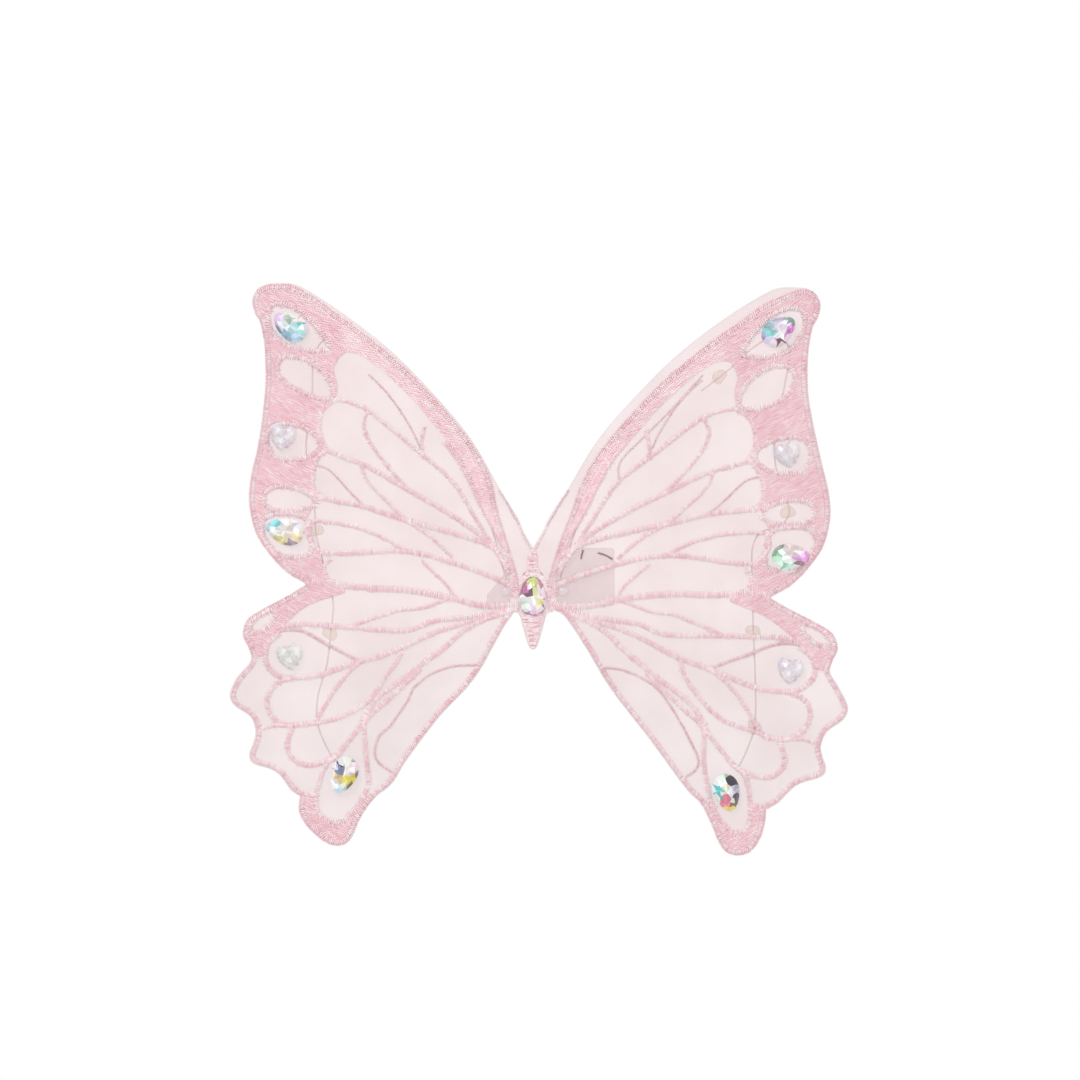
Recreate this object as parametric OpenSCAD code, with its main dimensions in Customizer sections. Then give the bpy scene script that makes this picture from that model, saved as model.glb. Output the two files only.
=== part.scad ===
// Butterfly costume wings: two embroidered organza wings on a small stitched body,
// with glued stones on the front and shaping wires, glue and clear patches on the back.
// The wings stand upright and face -Y. The origin is the middle of the fixing pad's back face.

/* [Overall] */
// From the middle of the body to the outermost scallop
wing_reach = 150.5; // [125:0.5:185]
// Height of the wing tips above the middle
wing_rise = 148; // [123:0.5:180]
// Drop of the lower lobes below the middle
wing_drop = 123.5; // [103:0.5:150]

/* [Body] */
// Distance of each fold line from the middle
fold_x = 8; // [8:0.1:10]
// Open seam at each fold line
fold_gap = 1; // [0.8:0.1:1.2]
// Half width of the stitched body
body_half = 6.6; // [5.5:0.1:6.8]
// Distance from a fold line to the stitching on the wing
fold_clear = 1.2; // [1:0.1:2]

/* [Cloth] */
// Thickness of the organza
cloth_t = 0.4; // [0.3:0.05:0.6]
// Plain cloth outside the stitched band on the right leading edge
right_strip = 0; // [0:0.1:1]
// How far the left band reaches out over that plain cloth
left_strip = 3.4; // [2:0.1:3.8]

/* [Stitching] */
// Height of the stitches above the cloth
stitch_h = 0.8; // [0.4:0.1:1.2]
// Width of the satin-stitched veins
vein_w = 2.8; // [1.8:0.1:3.6]
// Width of the fine veins
fine_w = 1.3; // [1:0.1:2]
// Width of the stitched edge
edge_w = 2.8; // [2:0.1:3.6]
// Width of the rings around the windows
ring_w = 2.4; // [1.6:0.1:3]
// Clearance between neighbouring fields of stitching
field_gap = 0.12; // [0.08:0.01:0.2]

/* [Stones] */
// Width of the pear stones
pear_w = 13; // [10:0.5:13]
// Length of the pear stones
pear_l = 18; // [14:0.5:21.5]
// Height of the pear stones
pear_h = 5; // [3.5:0.1:6.5]
// Width of the heart stones
heart_w = 12.8; // [10:0.2:15.4]
// Height of the heart stones
heart_h = 4.4; // [3:0.1:6]
// Thickness of a stone's straight girdle
girdle_h = 0.9; // [0.5:0.1:1.5]
// Clearance between a stone and the stitching
stone_clear = 0.25; // [0.15:0.05:0.5]

/* [Wires] */
// Thickness of the shaping wires
wire_d = 1.2; // [0.8:0.1:1.6]
// Diameter of the glue dots that hold the wires
glue_d = 7; // [5:0.5:9]
// Height of the glue dots
glue_h = 2.4; // [1.8:0.1:3.2]
// Clearance between a glue dot and the wire through it
glue_clear = 0.05; // [0.03:0.01:0.1]

/* [Back] */
// Width of the fixing pad behind the body
pad_w = 10; // [8:0.5:10.5]
// Height of the fixing pad
pad_h = 24; // [18:0.5:28]
// Thickness of the clear patches
patch_t = 0.8; // [0.5:0.1:1.2]
// Side of the square patch on the right wing
patch_side = 28; // [22:0.5:32]
// Distance from a fold line to a patch
patch_clear = 3; // [2.8:0.1:4]
// Thickness of the staple wire
staple_d = 1; // [0.8:0.1:1.2]

/* [Left wing] */
// Share of its reach by which the left wing is drawn in
left_pull = 0.045; // [0:0.005:0.06]
// Height by which its outer edge is drawn up
left_lift = 6.5; // [0:0.5:8]

/* [Hidden] */
$fn = 32;
step = 4.2;
right = 1;
left = -1;
organza = "#f6e4e6";
thread = "#efbccb";
pale_thread = "#f6d3db";
clear = "#e3e6ea";
glue_tone = "#e9dfae";
metal = "#8d8577";
stone_tone = "#cfe6ec";

lead_x = fold_x + fold_gap / 2;
stitch_x = fold_x + fold_clear;
lead_out = [-0.66, 0.75];
window_grow = 0.6;
// Plain cloth left outside the stitched edge, and the thinnest strip that is stitched
hem = 0.3;
thinnest = 0.5;
far = 400;
seam_w = vein_w * 1.3;

// Leading edge of the cloth, from the notch above the body to the wing tip
lead_edge = [[0, 23.5], [4.5, 31], [8, 38.5], [16, 50.5], [31, 75], [50, 97], [70, 116.5], [93, 134],
  [113, 146], [122, 148]];
// Outer edge of the upper wing, from the tip to the notch between the wings
fore_edge = [[130, 147.6], [135, 145], [137.5, 139.5], [136, 133], [133.5, 128], [131.5, 115],
  [131.5, 98], [134, 82], [138, 64], [141.3, 50], [142, 38], [139, 25], [133, 15.5], [124, 6], [114, 0]];
// Outer edge of the lower wing, from that notch to the lower lobe
hind_edge = [[114, -0.8], [124, -6.5], [139, -14.3], [144, -18.6], [145.6, -25], [143, -31], [142, -36],
  [145.5, -42], [149.8, -50], [150.5, -54.5], [148, -59], [140.5, -64.5], [137.6, -71], [138.3, -76],
  [140, -81.7], [137.6, -86], [126, -90], [117, -98.5], [111.5, -101.3]];
// Lower lobe and the inner edge of the lower wing, back to the body
lobe_edge = [[111.4, -102], [110.8, -108], [108.5, -115.5], [104, -121.6], [98.5, -123.5], [93, -122.4],
  [89, -118], [85, -108.5], [80, -98.8], [72.5, -91], [56, -68.5], [37.5, -44.5], [25, -24], [16, -10.5],
  [11, -6.8], [5, -6]];
// Outer edge of the stitched band along the leading edge
band_outer = [[5, -2], [7.5, 10], [12.5, 26], [18, 40.5], [23, 54.5], [30, 67], [40.5, 80.5],
  [51.5, 92.5], [64, 105], [76.5, 115.5], [87, 123.8], [97.5, 131], [107.5, 138.3], [116, 142.8],
  [123, 145.8]];
// Inner edge of that band
band_inner = [[10.5, 12], [17.5, 28], [25, 40.5], [31, 52.5], [39, 66], [50, 78.5], [60, 90], [70.5, 100],
  [79, 107], [87, 111.8], [93, 112.5]];
// Area in which the stitching belongs to the leading band, and beyond which it is the margin
lead_part = [[0, -10], [60, 60], [92, 100], [92, 160], [0, 160]];
// Inner edge of the stitched margin of the upper wing
margin_inner = [[94.5, 111.5], [97.5, 105], [96, 97], [97.5, 90.5], [103, 86], [106, 79.5], [106, 72],
  [103.8, 65.5], [108, 60], [110.3, 52.5], [109.5, 45], [107.5, 41], [110.5, 36], [113.3, 28], [111, 20],
  [106, 15.5], [105, 9], [103, 3.5]];
// Sheer windows in that margin, from the tip down
windows = [
  [[100.5, 116], [106.5, 126], [114, 133.5], [121.5, 137], [127.5, 136.8], [129.3, 132.4], [128.3, 126.2],
    [122.4, 118.6], [112.8, 115]],
  [[98.8, 91.4], [101.5, 100], [107.6, 106.2], [116.2, 109.6], [122.6, 109], [124.8, 103.4],
    [122.2, 97.8], [115, 92.8], [105.6, 90]],
  [[106.4, 67.6], [112.8, 73.2], [122.4, 75.6], [129.4, 74.2], [132.2, 68], [128.4, 60.8], [118, 59.6],
    [110, 62.4]],
  [[109, 39], [116, 44], [124.3, 45.6], [131.4, 44.6], [134, 40.3], [131.3, 36.2], [120, 35]],
  [[114, 30], [123, 32.6], [132.8, 31.2], [134.6, 24.4], [129, 15.4], [119.5, 13], [111.4, 16]]];
// Small window in the shoulder of the lower wing
shoulder_window = [[129.5, -13.5], [135.5, -15.2], [140.5, -19.5], [141, -23], [136.5, -22.4],
  [131, -18.4]];
// Inner edge of the stitched shoulder of the lower wing
shoulder_inner = [[94, -2.5], [105.5, -7], [114, -11.5], [121.5, -17.5], [127, -22], [131, -26],
  [134, -31], [136.5, -35], [142, -35.5]];
// Window that holds the stone in the lower lobe
lobe_window = [[82, -64], [81.6, -75.5], [82.6, -86], [85.4, -98.5], [90.6, -108], [96.8, -112.8],
  [103, -108.5], [103.8, -97], [101.4, -86], [95.5, -80], [89, -72]];

// Satin veins of the upper wing
fore_veins = [
  [[12, 11], [20.5, 24.5], [28, 36], [40.5, 54.5], [55, 66], [74.5, 81], [83, 86.5], [91, 89],
    [97.5, 90]],
  [[54, 79.5], [55.5, 72.5], [55, 66]],
  [[81.5, 85.5], [84.2, 79.5], [82.5, 73], [78, 66], [70.5, 57.5], [62, 49]],
  [[96.5, 90], [102.8, 85.8], [106, 79.5], [106, 72], [103, 65]],
  [[12, 14], [23, 26.5], [35.5, 35], [48, 42], [62, 49], [82.5, 58.8], [93, 61.8], [104, 65]],
  [[65.5, 36], [72.5, 42.5], [80, 49], [84.2, 54.5], [86, 60]],
  [[103.5, 65], [107.8, 60], [110.2, 52.5], [109.3, 45], [105.5, 41.5]],
  [[11, 19], [25, 25.5], [45.5, 31], [66.5, 35.3], [85, 39.8], [95, 40.6], [105.5, 42], [112, 44]],
  [[40.5, 18.4], [51, 27.3], [58, 31.5], [66, 36.5]],
  [[10, 5], [25, 11], [45.5, 17], [56, 19], [68.5, 19.8], [81.5, 18.2], [93, 16.5], [106, 15.5]],
  [[64, 20], [72.5, 24.5], [82.5, 28], [93, 30], [103.5, 30.6], [111, 30], [113.2, 25.5], [110.5, 19.5],
    [105.5, 16]],
  [[39, -1], [43.5, 5], [49, 10], [55.5, 15.5]],
  [[101.5, 13], [104.7, 8.7], [102, 3]]];
// Heavy vein where the two wings meet
seam_vein = [[8, -3.5], [18.5, -4.6], [29, -4], [39, -1.6], [56, 0.6], [68.5, 1.4], [81.5, 0.8], [93, 1],
  [103, 2], [114, 1]];
// Satin veins of the lower wing
hind_veins = [
  [[43, -2], [56, -7], [66.5, -8.4], [74.5, -11.3], [82.5, -14.5], [90, -18]],
  [[14, -6], [28, -9.6], [49.5, -12.8], [58, -16.5], [66.5, -18.4], [89, -18.6], [103.5, -19],
    [116, -19.5], [126, -21]],
  [[13, -6.5], [35.5, -13.5], [48, -18], [66.5, -27.5], [76.5, -31.8], [85, -34.5]],
  [[84, -34.2], [94, -38.4], [103.5, -42.4], [113, -44.6], [123.5, -45.2], [130.5, -42.4], [134.8, -36.5],
    [133.3, -29], [127.5, -24]],
  [[84, -34.2], [90.5, -39.2], [96.5, -45.5], [101.5, -52.5], [106, -60.5], [110, -66]],
  [[70.5, -30], [72, -37], [75.5, -43], [81.5, -50.5], [89, -57.6], [97.5, -61.8], [105.5, -64.2],
    [113, -67.5]],
  [[121, -45], [129, -48.5], [132.4, -55], [130.5, -62], [125, -66.6], [117.5, -68], [111, -66.5]],
  [[119, -68], [128.5, -68], [137, -70]],
  [[14, -6.8], [25, -11], [35.5, -17.5], [43.5, -25.5], [60, -39], [75.5, -51.3], [81, -60], [83, -65.5]],
  [[54, -36], [64, -46], [72.5, -54], [79.5, -60.5], [90.5, -74], [96.5, -81], [107.5, -86], [115, -85.6],
    [119.6, -81], [120, -75.5], [117.5, -69]],
  [[103.5, -100], [107.5, -99.5], [111, -101]]];
// Satin outline of the window in the lower lobe, with its long upper corner
lobe_vein = [[82, -60], [81.6, -75.5], [82.6, -86], [85.4, -98.5], [90.6, -108], [96.8, -112.8],
  [103, -108.5], [103.8, -97], [101.4, -86], [95.5, -80]];
// Fine veins of both wings, the first along the edge of the flap above the body
fine_veins = [
  [[8, 36.4], [9.4, 38.4], [12.9, 44.6], [17, 50.8]],
  [[56, 69], [61, 79.5], [68.5, 91], [75.5, 99], [80.5, 103.5]],
  [[41, 56], [42, 65], [54, 77.4], [65, 88.5], [77, 101.5], [81, 106]],
  [[85, 40.5], [92, 46.5], [97.5, 52], [102.5, 55.8], [109, 57.6]],
  [[84.5, -34.2], [94, -30.6], [103.5, -27.4], [111, -24.2], [118, -22.4], [126, -22.6], [131, -25.5]],
  [[33, -34], [40.5, -34.4], [49.5, -37.4], [58, -42.6], [64, -49.5], [70.5, -60], [75.5, -69.5],
    [79, -77.5], [77.8, -82.5], [71.5, -87]]];

// Three veins that run their own way on the left wing, each with its place in the lists above
branch_vein = 4;
left_branch = [[84, -34.2], [88.5, -39], [92.9, -44.2], [96.8, -49.7], [99.8, -54.4], [102.9, -59.8],
  [107.5, -66.5]];
bow_vein = 5;
left_bow = [[63.8, -28.8], [68, -36.3], [70.7, -40], [73.8, -45.2], [79, -52.6], [87.4, -58.3],
  [93.7, -61.8], [100.5, -64.3], [113, -67.5]];
tail_vein = 5;
left_tail = [[33.4, -33.2], [41, -33.8], [49.7, -37.9], [54, -41.4], [57.9, -45.2], [60.2, -49.8],
  [62.5, -53.6], [66.4, -59.1], [70.2, -64.4], [74.5, -68.4], [76.5, -72.2], [78.2, -77.5], [77, -82.5],
  [71.5, -87]];

// Stones: where each one is, and which way its narrow end points
centre_at = [0, 0.5];
tip_at = [[117.5, 127], [-116, 129.5]];
tip_turn = [-52, 55];
fore_at = [[123, 19], [-118.5, 31.5]];
fore_turn = [-84, 76];
hind_at = [[92.5, -93.5], [-90.5, -85]];
hind_turn = [-165, 160];
fore_heart_at = [[121.5, 68], [-119.5, 76.2]];
hind_heart_at = [[123, -35.2], [-116, -28.5]];
hind_heart_turn = [-8, 10];
fore_heart_turn = [12, -10];

// Shaping wires behind each wing
rib_route = [
  [[80.5, 98.5], [94, 109], [105, 119], [116, 124.5], [122.5, 118], [120, 100], [115.5, 80], [116, 62],
    [120.5, 48], [122.3, 40], [118, 34], [109, 31], [105, 24], [104.6, 12], [105, -8.5], [106.2, -40],
    [106, -60], [103, -71], [98.5, -81]],
  [[-94, 120], [-101, 122], [-105, 112], [-105.5, 96], [-108, 78], [-108, 60], [-104.5, 44],
    [-103.5, 29.5], [-99, 12], [-95.5, -2.5], [-96.5, -16], [-98.5, -32.5], [-103, -49], [-102, -63.5],
    [-94, -80]]];
spar_route = [
  [[12.5, 7], [17, 22], [22, 36], [28, 50], [37, 66], [48, 79.5], [58, 91.5], [67, 101]],
  [[-12.5, 7], [-16.5, 22], [-21, 37], [-26, 51], [-34, 66.5], [-44.5, 81.5], [-54.5, 94]]];
wire_step = 6;
// Glue dots along the long wire of each wing
rib_glue = [
  [[89, 105.2], [121.6, 40.5], [105.2, -16.5], [105.7, -62]],
  [[-107.6, 55], [-103.7, 32], [-97, -17.5]]];
drop_at = [[14.5, 2.5], [-12.5, 2.5]];
drop_d = 5;
drop_h = 1.3;
// Depths: the back of the cloth, and the face that the stitches and stones stand on
cloth_y = -wire_d - patch_t;
face_y = cloth_y - cloth_t;

// ---- curves ----
function blend(a, b, c, d, t) =
  0.5 * (2 * b + (c - a) * t + (2 * a - 5 * b + 4 * c - d) * t * t + (3 * b - a - 3 * c + d) * t * t * t);
function curve(p, closed = false, s = step) =
  let (n = len(p), last = closed ? n - 1 : n - 2)
  [for (i = [0 : last])
    let (a = p[closed ? (i + n - 1) % n : max(i - 1, 0)], b = p[i], c = p[(i + 1) % n],
         d = p[closed ? (i + 2) % n : min(i + 2, n - 1)], k = max(1, round(norm(c - b) / s)))
    for (j = [0 : k - 1]) blend(a, b, c, d, j / k),
    if (!closed) p[n - 1]];
function back(p) = [for (i = [len(p) - 1 : -1 : 0]) p[i]];
function ramp(a, b, v) = let (t = min(max((v - a) / (b - a), 0), 1)) t * t * (3 - 2 * t);

// Size of the pattern, and the left wing's own draw
function sized(p) = [p[0] * wing_reach / 150.5, p[1] * (p[1] > 0 ? wing_rise / 148 : wing_drop / 123.5)];
function lobe_draw(p) = let (u = p[0] + 0.8 * p[1])
  ramp(10, 40, -p[1]) * (3 - 5.5 * ramp(3, 27, u) + 3.5 * ramp(60, 110, u)) - 4 * ramp(88, 112, -p[1]);
function root_draw(p) =
  5 * ramp(2, 10, -p[1]) * (1 - ramp(3, 22, p[0] + 0.8 * p[1])) * (1 - ramp(8, 60, -p[1]));
function rim_draw(p) = let (u = p[0] + 0.8 * p[1])
  -1.8 * ramp(42, 60, -p[1]) * (1 - ramp(80, 95, -p[1])) * (1 - ramp(3, 27, u))
  - 2 * ramp(38, 46, -p[1]) * ramp(92, 107, u);
function pulled(p) =
  p[0] - p[0] * (left_pull - 0.02 * ramp(60, 110, p[1])) - lobe_draw(p) - root_draw(p) - rim_draw(p);
function lifted(p) = p[1] + left_lift * pow(min(p[0], 115) / 115, 2) * (1 - 0.7 * ramp(85, 140, p[1]));
function placed(p, side) = sized(side > 0 ? p : [-pulled(p), lifted(p)]);
function all_placed(line, side) = [for (p = line) placed(p, side)];
function pick(pair, side) = pair[side > 0 ? 0 : 1];
function hind_lines(side) = side > 0 ? hind_veins :
  [for (i = [0 : len(hind_veins) - 1])
    i == branch_vein ? left_branch : i == bow_vein ? left_bow : hind_veins[i]];
function fine_lines(side) = side > 0 ? fine_veins :
  [for (i = [0 : len(fine_veins) - 1]) i == tail_vein ? left_tail : fine_veins[i]];
function pushed(line, side, amount) =
  [for (p = line) p + lead_out * ramp(30, 60, p[1]) * (side > 0 ? right_strip : amount)];
function across_of(p) =
  [for (i = [0 : len(p) - 1])
    let (t = p[min(i + 1, len(p) - 1)] - p[max(i - 1, 0)]) [-t[1], t[0]] / norm(t)];

// ---- flat shapes, drawn as x and height ----
module strip(p, w) {
  across = across_of(p);
  polygon(concat(p + across * w / 2, back(p - across * w / 2)));
}
module closed_shape(line, side) polygon(all_placed(curve(line, true), side));
module ribbon(line, side, w) strip(all_placed(curve(line), side), w);
module wing_outline(side)
  polygon(all_placed(concat(curve(lead_edge), curve(fore_edge), curve(hind_edge), curve(lobe_edge)), side));
module stitched_outline(side) intersection() {
  polygon(all_placed(concat(curve(pushed(band_outer, side, left_strip)), curve(fore_edge), curve(hind_edge),
    curve(lobe_edge)), side));
  offset(delta = -hem) wing_outline(side);
}
module outer_half(side, x) translate([side > 0 ? x : -x - far, -far]) square([far, 2 * far]);
module stone_shape(at, turn, line, grow) translate(at) rotate(turn) offset(delta = grow) polygon(line);
module stones_2d(side) {
  stone_shape(sized(pick(tip_at, side)), pick(tip_turn, side), pear_line, stone_clear);
  stone_shape(sized(pick(fore_at, side)), pick(fore_turn, side), pear_line, stone_clear);
  stone_shape(sized(pick(hind_at, side)), pick(hind_turn, side), pear_line, stone_clear);
  stone_shape(sized(pick(fore_heart_at, side)), pick(fore_heart_turn, side), heart_line, stone_clear);
  stone_shape(sized(pick(hind_heart_at, side)), pick(hind_heart_turn, side), heart_line, stone_clear);
  translate(sized(pick(drop_at, side))) circle(d = drop_d + 2 * stone_clear, $fn = 16);
}
// One field of stitching, trimmed to its wing and around the stones, with thin slivers taken off
module trimmed(side) difference() {
  intersection() {
    children();
    offset(delta = -hem) wing_outline(side);
    outer_half(side, stitch_x);
  }
  stones_2d(side);
}
module field(side) offset(delta = -field_gap / 2) intersection() {
  trimmed(side) children();
  offset(delta = thinnest / 2) offset(delta = -thinnest / 2) trimmed(side) children();
}
module edge_2d(side) difference() {
  stitched_outline(side);
  offset(delta = -edge_w) stitched_outline(side);
}
module rings_2d(side) difference() {
  union() {
    for (w = concat(windows, [shoulder_window])) difference() {
      offset(delta = ring_w / 2 + window_grow) closed_shape(w, side);
      offset(delta = -ring_w / 2 + window_grow) closed_shape(w, side);
    }
  }
  edge_2d(side);
}
module windows_2d(side) for (w = concat(windows, [shoulder_window]))
  offset(delta = window_grow) closed_shape(w, side);
module fill_2d(side) difference() {
  polygon(concat(all_placed(concat(curve(pushed(band_outer, side, left_strip)), curve(fore_edge),
    back(curve(margin_inner))), side), all_placed(back(curve(pushed(band_inner, side, left_strip * 0.7))),
    side)));
  windows_2d(side);
  rings_2d(side);
  edge_2d(side);
}
module lead_band_2d(side) intersection() {
  fill_2d(side);
  polygon(all_placed(lead_part, side));
}
module margin_2d(side) difference() {
  fill_2d(side);
  polygon(all_placed(lead_part, side));
}
module hind_fill_2d(side) difference() {
  union() {
    polygon(all_placed(concat(curve(shoulder_inner), [[146, -34], [150, -20], [125, 0], [114, 1],
    [94, 1]]), side));
    polygon(all_placed([[80, -97], [113, -100], [114, -130], [80, -130]], side));
  }
  closed_shape(lobe_window, side);
  ribbon(lobe_vein, side, vein_w);
  windows_2d(side);
  rings_2d(side);
  edge_2d(side);
  ribbon(seam_vein, side, seam_w);
}
module fore_veins_2d(side) difference() {
  union() {
    for (v = fore_veins) ribbon(v, side, vein_w);
    ribbon(seam_vein, side, seam_w);
  }
  fill_2d(side);
  windows_2d(side);
  rings_2d(side);
  edge_2d(side);
}
module hind_veins_2d(side) difference() {
  union() {
    for (v = hind_lines(side)) ribbon(v, side, vein_w);
    ribbon(lobe_vein, side, vein_w);
  }
  hind_fill_2d(side);
  ribbon(seam_vein, side, seam_w);
  for (v = fore_veins) ribbon(v, side, vein_w);
  windows_2d(side);
  rings_2d(side);
  edge_2d(side);
}
module fine_veins_2d(side) difference() {
  for (v = fine_lines(side)) ribbon(v, side, fine_w);
  for (v = concat(fore_veins, hind_lines(side))) ribbon(v, side, vein_w);
  fill_2d(side);
  hind_fill_2d(side);
  rings_2d(side);
  edge_2d(side);
}

// ---- raising a flat shape, from its back face towards the front ----
module standing(back_y, thickness)
  translate([0, back_y, 0]) rotate([90, 0, 0]) linear_extrude(thickness) children();
module stitches(side, tone) color(tone) standing(face_y, stitch_h) field(side) children();

// ---- stones ----
pear_line = [for (a = [0 : 20 : 340])
  [pear_w / 2 * sin(a) * (1 - 0.25 * cos(a)) / 1.03, pear_l / 2 * cos(a)]];
half_heart = heart_w / 12 * [[0, -6.4], [3.2, -4], [5.4, -0.8], [6, 2.2], [5, 4.8], [2.6, 5.6], [0, 4.4]];
heart_line = concat(half_heart,
  [for (i = [len(half_heart) - 2 : -1 : 1]) [-half_heart[i][0], half_heart[i][1]]]);
table_share = 0.52;
table_t = 0.02;
module cut(line, high) hull() {
  linear_extrude(girdle_h) polygon(line);
  translate([0, 0, high - table_t]) linear_extrude(table_t) polygon(line * table_share);
}
module stone(at, turn) color(stone_tone)
  translate([at[0], face_y, at[1]]) rotate([90, 0, 0]) rotate(turn) children();

// ---- wires: an eight-sided tube with flat faces towards the cloth and the patches ----
function wire_line(route) = [for (q = curve(route, false, wire_step)) sized(q)];
module tube(route, d, y) {
  p = wire_line(route);
  n = len(p);
  r = d / 2 / cos(22.5);
  ring = [for (a = [22.5 : 45 : 337.5]) [r * cos(a), r * sin(a)]];
  across = across_of(p);
  points = [for (i = [0 : n - 1]) for (q = ring)
    [p[i][0] + across[i][0] * q[0], y + q[1], p[i][1] + across[i][1] * q[0]]];
  faces = concat([[for (j = [7 : -1 : 0]) j]], [[for (j = [0 : 7]) (n - 1) * 8 + j]],
    [for (i = [0 : n - 2]) for (j = [0 : 7]) [i * 8 + j, i * 8 + (j + 1) % 8, (i + 1) * 8 + (j + 1) % 8,
      (i + 1) * 8 + j]]);
  polyhedron(points, faces, convexity = 8);
}

// ---- the sub-parts ----
module centre_panel() color(organza) standing(cloth_y, cloth_t) intersection() {
  polygon([for (p = [[0, 23.5], [4.5, 31], [8, 38.5], [9, 40.5], [9, -6.5], [6.4, -9], [4.6, -15],
    [2, -23.5], [0, -25.5], [-2, -23.5], [-4.6, -15], [-6.4, -9], [-9, -6.5], [-9, 40.5], [-8, 38.5],
    [-4.5, 31]]) sized(p)]);
  translate([-fold_x + fold_gap / 2, -far]) square([2 * fold_x - fold_gap, 2 * far]);
}
module body_stitching() color(thread) standing(face_y, stitch_h) offset(delta = -0.02) difference() {
  intersection() {
    union() {
      for (m = [0, 1]) mirror([m, 0]) translate([fine_w / 2, 0])
        polygon([for (p = [[0, 23.5], [4.5, 31], [8, 38], [8, 35.4], [4.5, 28.4], [0, 20]]) sized(p)]);
      polygon(curve([for (p = [[0, 22.6], [2, 20.6], [2.5, 15], [3.6, 11.4], [6.4, 8], [6.6, 2], [6.6, -3],
        [5.8, -9], [3.6, -15.4], [1.6, -23], [0, -24.6], [-1.6, -23], [-3.6, -15.4], [-5.8, -9], [-6.6, -3],
        [-6.6, 2], [-6.4, 8], [-3.6, 11.4], [-2.5, 15], [-2, 20.6]]) sized(p)], true));
    }
    translate([-body_half, -far]) square([2 * body_half, 2 * far]);
  }
  stone_shape(sized(centre_at), 0, pear_line, stone_clear);
}
module centre_stone() stone(sized(centre_at), 0) cut(pear_line, pear_h);
module pear_stone(at, turn, side) stone(sized(pick(at, side)), pick(turn, side)) cut(pear_line, pear_h);
module heart_stone(at, turn, side) stone(sized(pick(at, side)), pick(turn, side))
  for (m = [0, 1]) mirror([m, 0, 0]) cut(half_heart, heart_h);
module back_pad() color(clear) translate([-pad_w / 2, cloth_y, -pad_h / 2]) cube([pad_w, -cloth_y, pad_h]);
module wing_panel(side) color(organza) standing(cloth_y, cloth_t) intersection() {
  wing_outline(side);
  outer_half(side, lead_x);
}
module rib_wire(side) color(metal) tube(pick(rib_route, side), wire_d, cloth_y + wire_d / 2);
module spar_wire(side) color(metal) tube(pick(spar_route, side), wire_d, cloth_y + wire_d / 2);
module glue_dot(at) translate([at[0], cloth_y, at[1]]) rotate([-90, 0, 0])
  rotate_extrude() polygon([[0, 0], [glue_d / 2, 0], [glue_d / 2, glue_h * 0.2],
    [glue_d * 0.42, glue_h * 0.55], [glue_d * 0.25, glue_h * 0.88], [0, glue_h]]);
module glue_dots(side) color(glue_tone) difference() {
  for (g = pick(rib_glue, side)) glue_dot(sized(g));
  standing(cloth_y + wire_d + glue_clear, wire_d + 1)
    strip(wire_line(pick(rib_route, side)), wire_d + 2 * glue_clear);
}
module right_patch() color(clear) translate([fold_x + patch_clear, -patch_t, -4.5])
  cube([patch_side, patch_t, patch_side]);
module left_patch() color(clear) standing(0, patch_t)
  polygon([[-fold_x - patch_clear, 14], [-fold_x - patch_clear, -4.5], [-22, -4.5], [-22, 1]]);
module clear_drop(side) color(clear) {
  at = sized(pick(drop_at, side));
  translate([at[0], face_y, at[1]]) rotate([90, 0, 0])
    rotate_extrude() polygon([[0, 0], [drop_d / 2, 0], [drop_d / 2 - 0.2, drop_h * 0.5],
      [drop_d * 0.3, drop_h * 0.85], [0, drop_h]]);
}
// Bent end of wire that goes through the right patch and lies on it
module right_staple() color(metal) for (end = [[[23, 18], [24, 22.5]], [[31, 21], [38, 18]]])
  tube([for (p = end) [p[0] * 150.5 / wing_reach, p[1] * 148 / wing_rise]], staple_d, staple_d / 2);

centre_panel();
body_stitching();
centre_stone();
back_pad();

wing_panel(right);  // right_panel
stitches(right, thread) edge_2d(right);  // right_edge_cord
stitches(right, thread) lead_band_2d(right);  // right_lead_band
stitches(right, thread) margin_2d(right);  // right_margin_fill
stitches(right, thread) hind_fill_2d(right);  // right_hind_fill
stitches(right, pale_thread) rings_2d(right);  // right_window_rings
stitches(right, thread) fore_veins_2d(right);  // right_fore_veins
stitches(right, thread) hind_veins_2d(right);  // right_hind_veins
stitches(right, thread) fine_veins_2d(right);  // right_fine_veins
pear_stone(tip_at, tip_turn, right);  // right_tip_stone
pear_stone(fore_at, fore_turn, right);  // right_fore_stone
pear_stone(hind_at, hind_turn, right);  // right_hind_stone
heart_stone(fore_heart_at, fore_heart_turn, right);  // right_fore_heart
heart_stone(hind_heart_at, hind_heart_turn, right);  // right_hind_heart
rib_wire(right);  // right_rib_wire
spar_wire(right);  // right_spar_wire
glue_dots(right);  // right_glue_dots
right_patch();  // right_root_patch
clear_drop(right);  // right_clear_drop
right_staple();

wing_panel(left);  // left_panel
stitches(left, thread) edge_2d(left);  // left_edge_cord
stitches(left, thread) lead_band_2d(left);  // left_lead_band
stitches(left, thread) margin_2d(left);  // left_margin_fill
stitches(left, thread) hind_fill_2d(left);  // left_hind_fill
stitches(left, pale_thread) rings_2d(left);  // left_window_rings
stitches(left, thread) fore_veins_2d(left);  // left_fore_veins
stitches(left, thread) hind_veins_2d(left);  // left_hind_veins
stitches(left, thread) fine_veins_2d(left);  // left_fine_veins
pear_stone(tip_at, tip_turn, left);  // left_tip_stone
pear_stone(fore_at, fore_turn, left);  // left_fore_stone
pear_stone(hind_at, hind_turn, left);  // left_hind_stone
heart_stone(fore_heart_at, fore_heart_turn, left);  // left_fore_heart
heart_stone(hind_heart_at, hind_heart_turn, left);  // left_hind_heart
rib_wire(left);  // left_rib_wire
spar_wire(left);  // left_spar_wire
glue_dots(left);  // left_glue_dots
left_patch();  // left_root_patch
clear_drop(left);  // left_clear_drop
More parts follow.
